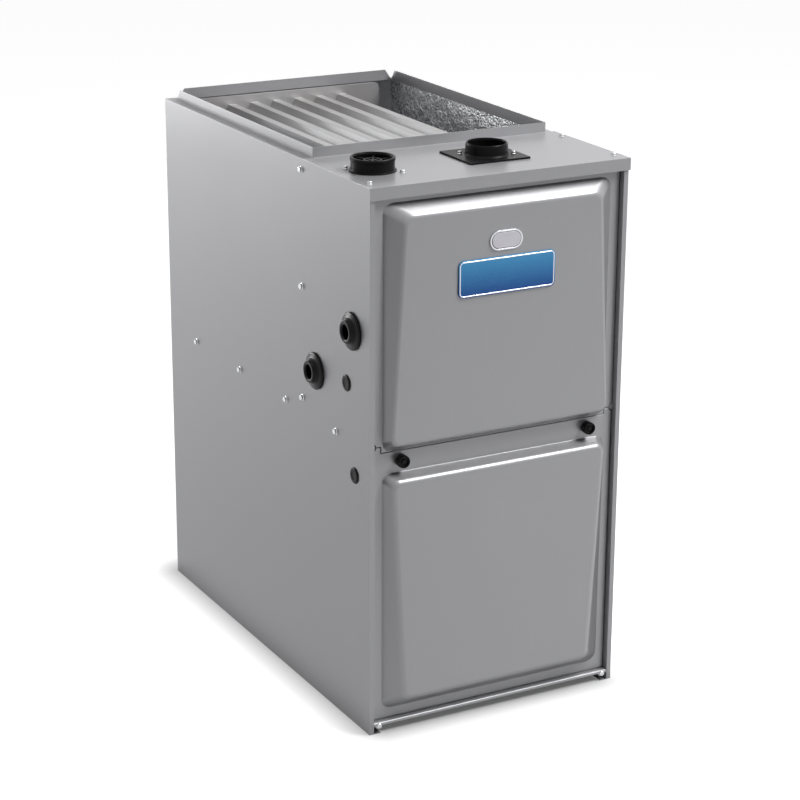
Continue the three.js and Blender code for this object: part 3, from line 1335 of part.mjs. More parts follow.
function controlPanel() {
  const y = panelY();
  const top = DECK_TOP - SHEET - SEAM;
  const { x, height, flange } = CONTROL_PANEL;
  return prism('x', bentSheet([[y, top - height], [y, top], [y + flange, top]]), x);
}

// A circuit board on four posts, with its relays, plugs and capacitor.
function controlBoard() {
  const { x, height, thickness, stand, toDeck } = BOARD;
  const back = panelY() - SEAM;
  const boardY = [back - stand - thickness, back - stand];
  const z = [DECK_TOP - toDeck - height, DECK_TOP - toDeck];
  const out = (depth) => [boardY[0] - depth, boardY[0] + INTO_BOARD];
  const posts = beyond(x, -BOARD_POST.inset).flatMap((px) => beyond(z, -BOARD_POST.inset).map((pz) =>
    rod('y', [px, pz], BOARD_POST.radius, [boardY[1] - INTO_BOARD, back], 8)));
  const relays = Array.from({ length: RELAY.count }, (_, i) => {
    const left = x[0] + RELAY.left + i * (RELAY.width + RELAY.gap);
    const relayTop = z[1] - RELAY.drop;
    return block([left, left + RELAY.width], out(RELAY.depth), [relayTop - RELAY.height, relayTop]);
  });
  const plugX = x[0] + BOARD_PLUG.left;
  const plugZ = z[0] + BOARD_PLUG.rise;
  return join(
    block(x, boardY, z),
    ...posts,
    ...relays,
    block([plugX, plugX + BOARD_PLUG.width], out(BOARD_PLUG.depth), [plugZ, plugZ + BOARD_PLUG.height]),
    rod('y', [x[1] - CAPACITOR.right, z[0] + CAPACITOR.rise], CAPACITOR.radius, out(CAPACITOR.depth), 12),
  );
}

function transformer() {
  const { x, width, height, depth, toDeck } = TRANSFORMER;
  const { inset: edge, coilWidth, coilHeight, coilBack } = TRANSFORMER_CORE;
  const back = panelY() - SEAM;
  const front = back - depth;
  const middle = DECK_TOP - toDeck;
  const across = (size) => [x - size / 2, x + size / 2];
  const up = (size) => [middle - size / 2, middle + size / 2];
  return join(
    block(across(width), [front + edge, back - edge], up(height - 2 * edge)),
    block(across(coilWidth), [front, back - coilBack], up(coilHeight)),
    block(across(width), [back - SHEET, back], up(height)),
    block(across(coilWidth), [back - edge - EMBED, back - SHEET / 2], up(height - 2 * edge - 2 * SHEET)),
  );
}

function switchFront() {
  return STOP_PLANE + 2 * SHEET + 2 * SEAM;
}

function doorSwitch() {
  const { width, height, depth, plunger, well } = DOOR_SWITCH;
  const front = switchFront();
  return cut(
    block([-width / 2, width / 2], [front, front + depth], [SCREW_Z - height / 2, SCREW_Z + height / 2]),
    rod('y', [0, SCREW_Z], clearRadius(plunger + SEAM, 12), [front - OVERCUT, front + well], 12),
  );
}

// The plunger reaches through the deck's front flange to the back of the lower door.
function doorSwitchPlunger() {
  const { plunger, well, travel } = DOOR_SWITCH;
  const y = [DOOR_PLANE + SHEET + SEAM, switchFront() + well - travel];
  return rod('y', [0, SCREW_Z], plunger, y, 12);
}

place('control_panel', controlPanel(), galvanised());
place('control_board', controlBoard(), finish(0x1f5b3a, 0.5, 0));
place('transformer', transformer(), finish(0x55585c, 0.5, 0.5));
place('door_switch', doorSwitch(), finish(0x2c2d2f, 0.5, 0));
place('door_switch_plunger', doorSwitchPlunger(), finish(0xd8d8d4, 0.4, 0));

export default furnace;
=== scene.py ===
import json
import math
import bpy
from mathutils import Matrix, Vector

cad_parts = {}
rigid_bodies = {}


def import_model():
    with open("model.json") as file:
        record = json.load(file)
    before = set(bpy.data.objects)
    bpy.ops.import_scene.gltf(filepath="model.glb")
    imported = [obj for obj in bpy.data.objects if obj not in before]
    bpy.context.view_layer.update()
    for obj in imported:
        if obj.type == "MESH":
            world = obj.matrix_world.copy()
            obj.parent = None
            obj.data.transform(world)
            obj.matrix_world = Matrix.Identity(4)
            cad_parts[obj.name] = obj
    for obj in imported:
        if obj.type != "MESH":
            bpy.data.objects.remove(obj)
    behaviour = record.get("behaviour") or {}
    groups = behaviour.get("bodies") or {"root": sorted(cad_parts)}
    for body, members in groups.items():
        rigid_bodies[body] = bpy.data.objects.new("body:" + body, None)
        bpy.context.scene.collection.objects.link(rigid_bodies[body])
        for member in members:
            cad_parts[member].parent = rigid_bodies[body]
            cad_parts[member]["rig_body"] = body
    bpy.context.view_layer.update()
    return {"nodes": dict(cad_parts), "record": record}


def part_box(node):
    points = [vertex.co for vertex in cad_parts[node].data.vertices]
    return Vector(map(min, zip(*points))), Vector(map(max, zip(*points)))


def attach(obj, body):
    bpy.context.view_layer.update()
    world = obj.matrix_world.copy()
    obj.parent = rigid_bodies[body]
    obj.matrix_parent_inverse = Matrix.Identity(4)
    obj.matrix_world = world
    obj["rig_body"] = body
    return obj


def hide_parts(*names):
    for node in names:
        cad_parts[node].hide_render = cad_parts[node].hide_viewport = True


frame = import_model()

# Forced air gas furnace. Sizes are written in millimetres and turned to metres where they are used.
# +X runs to the right across the front, +Y to the back and +Z up.

MM = 0.001

# ---- Places on the cabinet, in millimetres ----
TOP_Z = 868
SIDE_X = 222.25
DOOR_PLANE = -364.65
PRESSING_FRONT = -386.0
DOOR_BACK = -350.3
SHEET = 1.0
DOOR_WIDTH = 425
RAIL_EDGE = (-374.65, 18)
NOTCH = (211.8, 467.5)
THUMB_SCREW = (165, 442)
GROMMETS = {"upper_pipe_grommet": (-317.5, 639.3), "lower_pipe_grommet": (-194, 542.5)}
INTAKE = (-165, -274)
EXHAUST = (36, -264)


# ---- Camera, floor and light ----

def place_camera():
    """A long lens a little above the cabinet, off its left front corner."""
    azimuth, elevation, roll = (math.radians(a) for a in (-28.49, 18.479, 0.299))
    back = Vector((math.sin(azimuth) * math.cos(elevation), -math.cos(azimuth) * math.cos(elevation),
                   math.sin(elevation)))
    right = Vector((math.cos(azimuth), math.sin(azimuth), 0))
    up = back.cross(right)
    across = right * math.cos(roll) + up * math.sin(roll)
    upward = up * math.cos(roll) - right * math.sin(roll)
    data = bpy.data.cameras.new("camera")
    data.sensor_width = 36
    data.lens = 2341.056 * 36 / 800
    data.clip_end = 60
    camera = bpy.data.objects.new("camera", data)
    bpy.context.scene.collection.objects.link(camera)
    camera.matrix_world = Matrix((
        (across.x, upward.x, back.x, -1.745967),
        (across.y, upward.y, back.y, -3.275486),
        (across.z, upward.z, back.z, 1.643585),
        (0, 0, 0, 1)))
    bpy.context.scene.camera = camera


def link(tree, start, end):
    tree.links.new(start, end)


def shows_background(tree):
    """1 where the camera, or a ray off metal or through glass, looks straight at a surface."""
    path = tree.nodes.new("ShaderNodeLightPath")
    glossy = tree.nodes.new("ShaderNodeMath")
    glossy.operation = "MAXIMUM"
    link(tree, path.outputs["Is Camera Ray"], glossy.inputs[0])
    link(tree, path.outputs["Is Glossy Ray"], glossy.inputs[1])
    clear = tree.nodes.new("ShaderNodeMath")
    clear.operation = "MAXIMUM"
    link(tree, glossy.outputs[0], clear.inputs[0])
    link(tree, path.outputs["Is Transmission Ray"], clear.inputs[1])
    return clear.outputs[0]


def floor_material():
    """White paper floor that meets the white background without a line. Under and just round the base its glow is
    dimmed: painted shade there, in which the real shadow shows too."""
    material = bpy.data.materials.new("studio_floor")
    material.use_nodes = True
    tree = material.node_tree
    tree.nodes.clear()
    paper = tree.nodes.new("ShaderNodeBsdfDiffuse")
    paper.inputs["Color"].default_value = FLOOR_COLOUR
    glow = tree.nodes.new("ShaderNodeEmission")
    place = tree.nodes.new("ShaderNodeSeparateXYZ")
    link(tree, object_place(tree), place.inputs[0])
    squares = []
    for axis, half in (("X", SHADED_HALF_WIDTH), ("Y", SHADED_HALF_DEPTH)):
        beyond = maths(tree, "SUBTRACT", maths(tree, "ABSOLUTE", place.outputs[axis], 0), half)
        outside = maths(tree, "MAXIMUM", beyond, 0)
        squares.append(maths(tree, "MULTIPLY", outside, outside))
    away = maths(tree, "POWER", maths(tree, "ADD", *squares), 0.5)
    # Painted shade: the glow is dimmed under and just round the base, whatever light falls there.
    glow_with_painted_shade = spread(tree, away, 0.005, 0.075, GLOW_IN_PAINTED_SHADE, FLOOR_GLOW)
    link(tree, maths(tree, "MULTIPLY", glow_with_painted_shade, shows_background(tree)), glow.inputs["Strength"])
    both = tree.nodes.new("ShaderNodeAddShader")
    link(tree, paper.outputs[0], both.inputs[0])
    link(tree, glow.outputs[0], both.inputs[1])
    output = tree.nodes.new("ShaderNodeOutputMaterial")
    link(tree, both.outputs[0], output.inputs["Surface"])
    return material


def build_studio():
    """A wide floor, a plain white surround and soft lamps."""
    bpy.ops.mesh.primitive_plane_add(size=60, location=(0, 0, 0))
    floor = bpy.context.object
    floor.name = "studio_floor"
    floor.data.materials.append(floor_material())
    world = bpy.data.worlds.new("surround")
    bpy.context.scene.world = world
    world.use_nodes = True
    tree = world.node_tree
    background = tree.nodes["Background"]
    background.inputs["Color"].default_value = (1, 1, 1, 1)
    strength = tree.nodes.new("ShaderNodeMapRange")
    strength.inputs["To Min"].default_value = SURROUND_LEVEL
    strength.inputs["To Max"].default_value = 1.0
    link(tree, shows_background(tree), strength.inputs["Value"])
    link(tree, strength.outputs[0], background.inputs["Strength"])
    for name, place, target, size, power in LAMPS:
        data = bpy.data.lights.new(name, "AREA")
        data.shape = "RECTANGLE"
        data.size, data.size_y = size
        data.energy = power
        lamp = bpy.data.objects.new(name, data)
        bpy.context.scene.collection.objects.link(lamp)
        lamp.location = place
        lamp.rotation_mode = "QUATERNION"
        lamp.rotation_quaternion = (Vector(target) - Vector(place)).to_track_quat("-Z", "Y")


FLOOR_COLOUR = (0.5, 0.5, 0.5, 1)
FLOOR_GLOW = 0.95
# Glow of the floor in the painted shade under and round the base.
GLOW_IN_PAINTED_SHADE = 0.1
SHADED_HALF_WIDTH = 0.192
SHADED_HALF_DEPTH = 0.362
SURROUND_LEVEL = 0.02
LAMPS = [
    ("top_lamp", (0.2, -0.2, 3.0), (0, 0, 0.8), (2.2, 2.0), 12),
    ("back_lamp", (-1.9, 3.3, 0.9), (-0.22, 0, 0.8), (1.6, 1.2), 50),
    ("chamfer_lamp", (1.3, -0.75, 3.0), (0, -0.38, 0.8), (1.4, 1.0), 27),
    ("front_lamp", (1.5, -1.7, 2.8), (0, -0.38, 0.7), (1.4, 1.0), 68),
]


# ---- Shared effects ----

def effect(name, inputs, outputs):
    """A shader node group with named number inputs and outputs, and its two end nodes."""
    group = bpy.data.node_groups.new(name, "ShaderNodeTree")
    for label, value in inputs:
        socket = group.interface.new_socket(label, in_out="INPUT", socket_type="NodeSocketFloat")
        socket.default_value = value
    for label in outputs:
        group.interface.new_socket(label, in_out="OUTPUT", socket_type="NodeSocketFloat")
    return group, group.nodes.new("NodeGroupInput"), group.nodes.new("NodeGroupOutput")


def maths(tree, operation, first, second):
    """A math node on two values, each a socket or a number."""
    node = tree.nodes.new("ShaderNodeMath")
    node.operation = operation
    for socket, value in zip(node.inputs, (first, second)):
        if isinstance(value, (int, float)):
            socket.default_value = value
        else:
            link(tree, value, socket)
    return node.outputs[0]


def object_place(tree):
    return tree.nodes.new("ShaderNodeTexCoord").outputs["Object"]


def noise(tree, place, scale, detail=3.0, stretch=(1, 1, 1)):
    """Soft noise in object space; scale is a number or a socket, stretch draws it out along an axis."""
    mapping = tree.nodes.new("ShaderNodeMapping")
    mapping.inputs["Scale"].default_value = stretch
    link(tree, place, mapping.inputs["Vector"])
    node = tree.nodes.new("ShaderNodeTexNoise")
    node.inputs["Detail"].default_value = detail
    link(tree, mapping.outputs[0], node.inputs["Vector"])
    if isinstance(scale, (int, float)):
        node.inputs["Scale"].default_value = scale
    else:
        link(tree, scale, node.inputs["Scale"])
    return node.outputs["Fac"]


def spread(tree, value, low, high, to_low=0.0, to_high=1.0):
    """A value stretched from one range to another and held inside it."""
    node = tree.nodes.new("ShaderNodeMapRange")
    link(tree, value, node.inputs["Value"])
    for label, number in (("From Min", low), ("From Max", high), ("To Min", to_low), ("To Max", to_high)):
        node.inputs[label].default_value = number
    return node.outputs[0]


def make_grain():
    """Fine grain: a tone that wanders slowly, and a height for the bump."""
    tree, start, end = effect("surface_grain", [("Scale", 900.0)], ["Tone", "Height"])
    place = object_place(tree)
    slow = noise(tree, place, 6.0, 2.0)
    fine = noise(tree, place, start.outputs["Scale"], 2.0)
    link(tree, maths(tree, "ADD", maths(tree, "MULTIPLY", slow, 0.7), maths(tree, "MULTIPLY", fine, 0.3)),
         end.inputs["Tone"])
    link(tree, fine, end.inputs["Height"])
    return tree


def make_drawn_grain():
    """Long fine lines along Z, as rolled or brushed sheet has."""
    tree, start, end = effect("drawn_grain", [("Scale", 500.0)], ["Tone", "Height"])
    place = object_place(tree)
    lines = noise(tree, place, start.outputs["Scale"], 2.0, (1, 1, 0.02))
    cloud = noise(tree, place, 9.0, 2.0)
    link(tree, maths(tree, "ADD", maths(tree, "MULTIPLY", lines, 0.45), maths(tree, "MULTIPLY", cloud, 0.55)),
         end.inputs["Tone"])
    link(tree, lines, end.inputs["Height"])
    return tree


def make_scuffs():
    """Thin, sparse scratches and a few rubbed patches, as a mask."""
    tree, start, end = effect("scuffs", [("Amount", 0.5)], ["Mask"])
    place = object_place(tree)
    scratch = noise(tree, place, 22.0, 1.0, (9, 9, 0.7))
    thin = spread(tree, scratch, 0.71, 0.75)
    patches = spread(tree, noise(tree, place, 5.0, 3.0), 0.55, 0.8)
    rubbed = maths(tree, "ADD", maths(tree, "MULTIPLY", thin, 0.6), maths(tree, "MULTIPLY", patches, 0.4))
    link(tree, maths(tree, "MULTIPLY", rubbed, start.outputs["Amount"]), end.inputs["Mask"])
    return tree


def make_dust():
    """Dust on faces that look up, thicker in patches."""
    tree, start, end = effect("settled_dust", [("Amount", 0.3)], ["Mask"])
    normal = tree.nodes.new("ShaderNodeSeparateXYZ")
    link(tree, tree.nodes.new("ShaderNodeNewGeometry").outputs["Normal"], normal.inputs[0])
    upward = spread(tree, normal.outputs["Z"], 0.6, 1.0)
    patches = spread(tree, noise(tree, object_place(tree), 14.0, 4.0), 0.35, 0.75)
    link(tree, maths(tree, "MULTIPLY", maths(tree, "MULTIPLY", upward, patches), start.outputs["Amount"]),
         end.inputs["Mask"])
    return tree


def make_spangle():
    """The crystal flakes of zinc coated sheet."""
    tree, start, end = effect("zinc_spangle", [("Scale", 90.0)], ["Tone", "Height"])
    place = object_place(tree)
    flakes = tree.nodes.new("ShaderNodeTexVoronoi")
    link(tree, start.outputs["Scale"], flakes.inputs["Scale"])
    link(tree, place, flakes.inputs["Vector"])
    tone = tree.nodes.new("ShaderNodeSeparateColor")
    link(tree, flakes.outputs["Color"], tone.inputs[0])
    link(tree, tone.outputs[0], end.inputs["Tone"])
    link(tree, noise(tree, place, 700.0, 1.0), end.inputs["Height"])
    return tree


def make_creases_and_painted_shade():
    """Sharp folds of crumpled foil: flat facets that each lean their own way, with painted shade in the dimples
    and a painted sheen on the ridges.
    """
    tree, start, end = effect("foil_creases_and_painted_shade", [("Scale", 70.0)], ["Tone", "Height"])
    place = object_place(tree)
    heights = []
    for share in (1.0, 2.3):
        cells = tree.nodes.new("ShaderNodeTexVoronoi")
        cells.feature = "F1"
        cells.distance = "EUCLIDEAN"
        link(tree, maths(tree, "MULTIPLY", start.outputs["Scale"], share), cells.inputs["Scale"])
        link(tree, place, cells.inputs["Vector"])
        heights.append(maths(tree, "MULTIPLY", cells.outputs["Distance"], 1.0 / share))
    folds = maths(tree, "ADD", *heights)
    link(tree, folds, end.inputs["Height"])
    # Painted shade and sheen: the tone is darker in the dimples and lighter on the ridges.
    link(tree, spread(tree, folds, 0.2, 1.0), end.inputs["Tone"])
    return tree


GRAIN = make_grain()
DRAWN = make_drawn_grain()
SCUFFS = make_scuffs()
DUST = make_dust()
SPANGLE = make_spangle()
CREASES_AND_PAINTED_SHADE = make_creases_and_painted_shade()


# ---- Materials ----

def linear(level):
    """A colour level from 0 to 255, as the picture shows it, in scene light."""
    share = level / 255
    return share / 12.92 if share <= 0.04045 else ((share + 0.055) / 1.055) ** 2.4


def tint(red, green, blue):
    return (linear(red), linear(green), linear(blue), 1)


def shifted(colour, share):
    return tuple(min(1, c * share) for c in colour[:3]) + (1,)


def use(tree, group, **values):
    node = tree.nodes.new("ShaderNodeGroup")
    node.node_tree = group
    for label, value in values.items():
        node.inputs[label].default_value = value
    return node


def mixed(tree, factor, first, second):
    """Two colours mixed by a factor; each is a colour or a socket."""
    node = tree.nodes.new("ShaderNodeMix")
    node.data_type = "RGBA"
    link(tree, factor, node.inputs["Factor"])
    for socket, value in ((node.inputs[6], first), (node.inputs[7], second)):
        if isinstance(value, tuple):
            socket.default_value = value
        else:
            link(tree, value, socket)
    return node.outputs[2]


def finish_of(name, colour, roughness, metallic=0.0, coat=0.0, texture=GRAIN, scale=900.0, contrast=0.08,
              bump=0.1, depth=0.0002, wear=0.3, dust=0.2, worn=None, rough_spread=0.1, coat_roughness=0.1,
              specular=0.5):
    """A finish: a base colour that wanders a little, rubbed and dusty places, and its own fine relief."""
    material = bpy.data.materials.new(name)
    material.use_nodes = True
    tree = material.node_tree
    shader = tree.nodes["Principled BSDF"]
    grain = use(tree, texture, Scale=scale)
    scuffs = use(tree, SCUFFS, Amount=wear)
    settled = use(tree, DUST, Amount=dust)
    # The texture's tone: real grain on most finishes, but the painted shade and sheen of the folds on the foil.
    body = mixed(tree, grain.outputs["Tone"], shifted(colour, 1 - contrast), shifted(colour, 1 + contrast))
    rubbed = mixed(tree, scuffs.outputs["Mask"], body, worn or shifted(colour, 1.25))
    dusty = mixed(tree, settled.outputs["Mask"], rubbed, tint(188, 186, 180))
    link(tree, dusty, shader.inputs["Base Color"])
    level = spread(tree, grain.outputs["Tone"], 0.2, 0.8, roughness - rough_spread / 2,
                   roughness + rough_spread / 2)
    level = maths(tree, "ADD", level, maths(tree, "MULTIPLY", scuffs.outputs["Mask"], 0.12))
    link(tree, maths(tree, "ADD", level, maths(tree, "MULTIPLY", settled.outputs["Mask"], 0.3)),
         shader.inputs["Roughness"])
    shader.inputs["Metallic"].default_value = metallic
    shader.inputs["Specular IOR Level"].default_value = specular
    shader.inputs["Coat Weight"].default_value = coat
    shader.inputs["Coat Roughness"].default_value = coat_roughness
    relief = tree.nodes.new("ShaderNodeBump")
    relief.inputs["Strength"].default_value = bump
    relief.inputs["Distance"].default_value = depth
    link(tree, grain.outputs["Height"], relief.inputs["Height"])
    link(tree, relief.outputs[0], shader.inputs["Normal"])
    return material


def badge_material():
    """Blue enamel, lighter at its top, under a clear coat."""
    material = finish_of("badge_blue", tint(50, 112, 168), 0.25, 0.1, 0.1, wear=0.1, dust=0.05, specular=0.25)
    tree = material.node_tree
    height = tree.nodes.new("ShaderNodeSeparateXYZ")
    link(tree, object_place(tree), height.inputs[0])
    fade = spread(tree, height.outputs["Z"], 0.692, 0.742)
    body = mixed(tree, fade, tint(14, 82, 156), tint(72, 158, 212))
    gloss = tree.nodes["Principled BSDF"].inputs["Base Color"]
    scuffed = gloss.links[0].from_node
    link(tree, body, scuffed.inputs[6])
    return material


def baffle_material():
    """Aluminised sheet with a faint straw and violet heat tint toward the back."""
    material = finish_of("aluminised_baffle", tint(174, 174, 175), 0.34, 0.6, texture=DRAWN, scale=420.0,
                         contrast=0.06, wear=0.35, dust=0.25)
    tree = material.node_tree
    place = tree.nodes.new("ShaderNodeSeparateXYZ")
    link(tree, object_place(tree), place.inputs[0])
    rear = spread(tree, place.outputs["Y"], 0.12, 0.34)
    cloud = spread(tree, noise(tree, object_place(tree), 16.0, 2.0), 0.4, 0.7)
    amount = maths(tree, "MULTIPLY", maths(tree, "MULTIPLY", rear, cloud), 0.16)
    gloss = tree.nodes["Principled BSDF"].inputs["Base Color"]
    before = gloss.links[0].from_socket
    link(tree, mixed(tree, amount, before, tint(186, 160, 150)), gloss)
    return material


FINISH = {
    "cabinet_paint": finish_of("silver_paint", tint(159, 159, 162), 0.33, 0.3, 0.1, GRAIN, 1500.0, 0.03, 0.12,
                               0.00008, 0.18, 0.12, rough_spread=0.06, coat_roughness=0.2),
    "galvanised_steel": finish_of("galvanised_sheet", tint(160, 162, 164), 0.42, 0.85, 0, SPANGLE, 110.0, 0.14,
                                  0.15, 0.0001, 0.4, 0.35, rough_spread=0.2),
    # The foil's tone contrast is the painted shade and sheen of its folds.
    "insulation_foil": finish_of("crumpled_foil", tint(208, 210, 213), 0.26, 0.9, 0, CREASES_AND_PAINTED_SHADE, 230.0, 0.35,
                                 0.8, 0.0016, 0.2, 0.05, rough_spread=0.16),
    "aluminised_steel": finish_of("aluminised_sheet", tint(182, 181, 178), 0.36, 0.85, 0, DRAWN, 420.0, 0.1,
                                  0.15, 0.0001, 0.4, 0.3),
    "coil_aluminium": finish_of("coil_fins", tint(200, 200, 202), 0.35, 0.9, 0, DRAWN, 700.0, 0.1, 0.2,
                                0.0001, 0.3, 0.3),
    "black_plastic": finish_of("moulded_black", tint(14, 14, 15), 0.3, 0, 0, GRAIN, 2200.0, 0.12, 0.3,
                               0.0002, 0.3, 0.02, tint(30, 30, 31), specular=0.1),
    "black_rubber": finish_of("grommet_rubber", tint(9, 9, 10), 0.24, 0, 0, GRAIN, 1300.0, 0.15, 0.2,
                              0.0002, 0.3, 0.02, tint(24, 24, 24), specular=0.13),
    "bright_trim": finish_of("bright_rim", tint(214, 215, 220), 0.16, 0.9, 0, DRAWN, 900.0, 0.05, 0.05,
                             0.0001, 0.25, 0.1),
    "sight_lens": finish_of("milky_lens", tint(226, 224, 232), 0.25, 0, 0.4, GRAIN, 400.0, 0.06, 0.05, 0.0002,
                            0.15, 0.1),
    "badge_face": badge_material(),
    "black_pipe": finish_of("dark_iron_pipe", tint(52, 52, 54), 0.5, 0.6, 0, GRAIN, 700.0, 0.25, 0.4, 0.0004,
                            0.6, 0.3, tint(104, 90, 78)),
    "valve_casting": finish_of("cast_valve", tint(150, 152, 155), 0.48, 0.8, 0, GRAIN, 800.0, 0.15, 0.5,
                               0.0004, 0.5, 0.3),
    "ceramic_body": finish_of("bare_ceramic", tint(222, 218, 206), 0.6, 0, 0, GRAIN, 1200.0, 0.06, 0.3, 0.0002,
                              0.3, 0.3, tint(170, 150, 126)),
    "pale_plastic": finish_of("pale_moulding", tint(214, 214, 209), 0.42, 0, 0.1, GRAIN, 1500.0, 0.05, 0.2,
                              0.0002, 0.3, 0.35, tint(190, 184, 170)),
    "shaft_steel": finish_of("ground_shaft", tint(176, 178, 182), 0.22, 1, 0, DRAWN, 1600.0, 0.08, 0.1, 0.0001,
                             0.3, 0.1),
    "motor_paint": finish_of("motor_enamel", tint(44, 45, 47), 0.4, 0.2, 0.3, GRAIN, 1100.0, 0.2, 0.3, 0.0003,
                             0.5, 0.4, tint(120, 121, 124)),
    "circuit_board": finish_of("green_board", tint(34, 92, 60), 0.35, 0, 0.5, GRAIN, 1900.0, 0.35, 0.4, 0.0003,
                               0.3, 0.3),
    "red_button": finish_of("red_cap", tint(164, 32, 32), 0.3, 0, 0.4, GRAIN, 1500.0, 0.1, 0.2, 0.0002),
    "white_plunger": finish_of("white_cap", tint(217, 217, 212), 0.3, 0, 0.3, GRAIN, 1500.0, 0.06, 0.2, 0.0002),
}
BAFFLE = baffle_material()
ZINC_SCREW = finish_of("zinc_screw", tint(206, 207, 210), 0.24, 0.9, 0, GRAIN, 1500.0, 0.1, 0.2, 0.0001)


def dress_cad_nodes():
    """Every node of the frame takes the finish of its slot."""
    for part in frame["record"]["subparts"]:
        node = frame["nodes"][part["node"]]
        material = BAFFLE if part["node"] == "heat_exchanger_baffle" else FINISH[part["material_slot"]]
        node.data.materials.clear()
        node.data.materials.append(material)


SLOT_OF = {part["node"]: part["material_slot"] for part in frame["record"]["subparts"]}


# ---- Modelling helpers ----

def only(piece):
    """The piece is the one selected and active object, in object mode."""
    if bpy.context.object and bpy.context.object.mode != "OBJECT":
        bpy.ops.object.mode_set(mode="OBJECT")
    bpy.ops.object.select_all(action="DESELECT")
    piece.select_set(True)
    bpy.context.view_layer.objects.active = piece


def begun(name, operator, **settings):
    """A new primitive, named and alone selected, with its size and place in its mesh."""
    if bpy.context.object and bpy.context.object.mode != "OBJECT":
        bpy.ops.object.mode_set(mode="OBJECT")
    bpy.ops.object.select_all(action="DESELECT")
    operator(**settings)
    piece = bpy.context.object
    piece.name = name
    piece.data.name = name
    bpy.ops.object.transform_apply(location=True, rotation=True, scale=True)
    return piece


def cube(name, low, high):
    """A box from its low to its high corner, in millimetres."""
    size = [(b - a) * MM for a, b in zip(low, high)]
    middle = [(a + b) / 2 * MM for a, b in zip(low, high)]
    return begun(name, bpy.ops.mesh.primitive_cube_add, size=1, location=middle, scale=size)


def pick(piece, kind, test):
    """In edit mode, selects the vertices, edges or faces whose corner points, in millimetres, pass the test."""
    only(piece)
    mesh = piece.data
    for group in (mesh.vertices, mesh.edges, mesh.polygons):
        group.foreach_set("select", [False] * len(group))
    points = [v.co / MM for v in mesh.vertices]
    if kind == "VERT":
        for vertex in mesh.vertices:
            vertex.select = bool(test([points[vertex.index]]))
    elif kind == "EDGE":
        for edge in mesh.edges:
            edge.select = bool(test([points[i] for i in edge.vertices]))
    else:
        for face in mesh.polygons:
            face.select = bool(test([points[i] for i in face.vertices]))
    bpy.context.tool_settings.mesh_select_mode = (kind == "VERT", kind == "EDGE", kind == "FACE")
    bpy.ops.object.mode_set(mode="EDIT")


def everything(piece):
    pick(piece, "FACE", lambda points: True)


def modified(piece, kind, **settings):
    """A modifier with its settings, applied at once."""
    only(piece)
    modifier = piece.modifiers.new(kind.lower(), kind)
    for label, value in settings.items():
        setattr(modifier, label, value)
    bpy.ops.object.modifier_apply(modifier=modifier.name)


def softened(piece, width, segments=2, angle=35):
    """Rounds every edge sharper than the angle."""
    modified(piece, "BEVEL", width=width * MM, segments=segments, limit_method="ANGLE",
             angle_limit=math.radians(angle), harden_normals=False)


def carved(piece, tool, operation="DIFFERENCE"):
    """Cuts or joins another solid, which is used up."""
    modified(piece, "BOOLEAN", object=tool, operation=operation, solver="MANIFOLD")
    bpy.data.objects.remove(tool)


def joined(name, pieces):
    only(pieces[0])
    for piece in pieces:
        piece.select_set(True)
    bpy.ops.object.join()
    pieces[0].name = name
    pieces[0].data.name = name
    return pieces[0]


def done(piece, slot, nodes=(), body="cabinet", material=None, angle=32):
    """The finished piece: place in its mesh, smooth faces, its finish, its body and the nodes it stands for."""
    only(piece)
    bpy.ops.object.transform_apply(location=True, rotation=True, scale=True)
    bpy.ops.object.shade_smooth_by_angle(angle=math.radians(angle))
    modified(piece, "WEIGHTED_NORMAL", mode="FACE_AREA", weight=100, keep_sharp=True)
    if not any(piece.data.materials):
        piece.data.materials.clear()
        piece.data.materials.append(material or FINISH[slot])
    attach(piece, body)
    if nodes:
        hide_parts(*nodes)
    return piece


def turned(name, place, profile, axis="Z", sides=48, hollow=False):
    """A round piece. The profile is (radius, distance along the axis) from the far end on, in millimetres.
    A hollow one closes on its own first ring, and any other ends in a flat cap."""
    radius, along = profile[0]
    piece = begun(name, bpy.ops.mesh.primitive_circle_add, vertices=sides, radius=radius * MM,
                  location=(0, 0, along * MM), fill_type="NOTHING" if hollow else "NGON")
    pick(piece, "VERT", lambda points: True)
    bpy.ops.mesh.select_all(action="SELECT")
    for new_radius, new_along in profile[1:] + ([profile[0]] if hollow else []):
        bpy.ops.mesh.extrude_region_move(TRANSFORM_OT_translate={"value": (0, 0, (new_along - along) * MM)})
        share = new_radius / radius
        bpy.ops.transform.resize(value=(share, share, 1), center_override=(0, 0, new_along * MM))
        radius, along = new_radius, new_along
    bpy.ops.mesh.select_all(action="SELECT")
    if hollow:
        bpy.ops.mesh.remove_doubles(threshold=0.00001)
    bpy.ops.mesh.normals_make_consistent(inside=False)
    only(piece)
    turn = {"Z": (0, 0, 0), "-X": (0, -math.pi / 2, 0), "X": (0, math.pi / 2, 0),
            "-Y": (math.pi / 2, 0, 0), "Y": (-math.pi / 2, 0, 0)}[axis]
    piece.rotation_euler = turn
    piece.location = [c * MM for c in place]
    bpy.ops.object.transform_apply(location=True, rotation=True)
    return piece


def merged_copy(node):
    """A node's own shape with its triangles merged into flat faces."""
    piece = bpy.data.objects.new(node + "_shell", frame["nodes"][node].data.copy())
    bpy.context.scene.collection.objects.link(piece)
    everything(piece)
    bpy.ops.mesh.customdata_custom_splitnormals_clear()
    bpy.ops.mesh.remove_doubles(threshold=0.00001)
    bpy.ops.mesh.dissolve_limited(angle_limit=math.radians(1))
    return piece


def copy_of_node(node, bevel=0.0, segments=2, angle=32, material=None):
    """A node's own shape with its edges rounded and its curves smooth."""
    piece = merged_copy(node)
    if bevel:
        softened(piece, bevel, segments)
    return done(piece, SLOT_OF[node], [node], frame["nodes"][node]["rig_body"], material, angle)


# ---- Doors ----

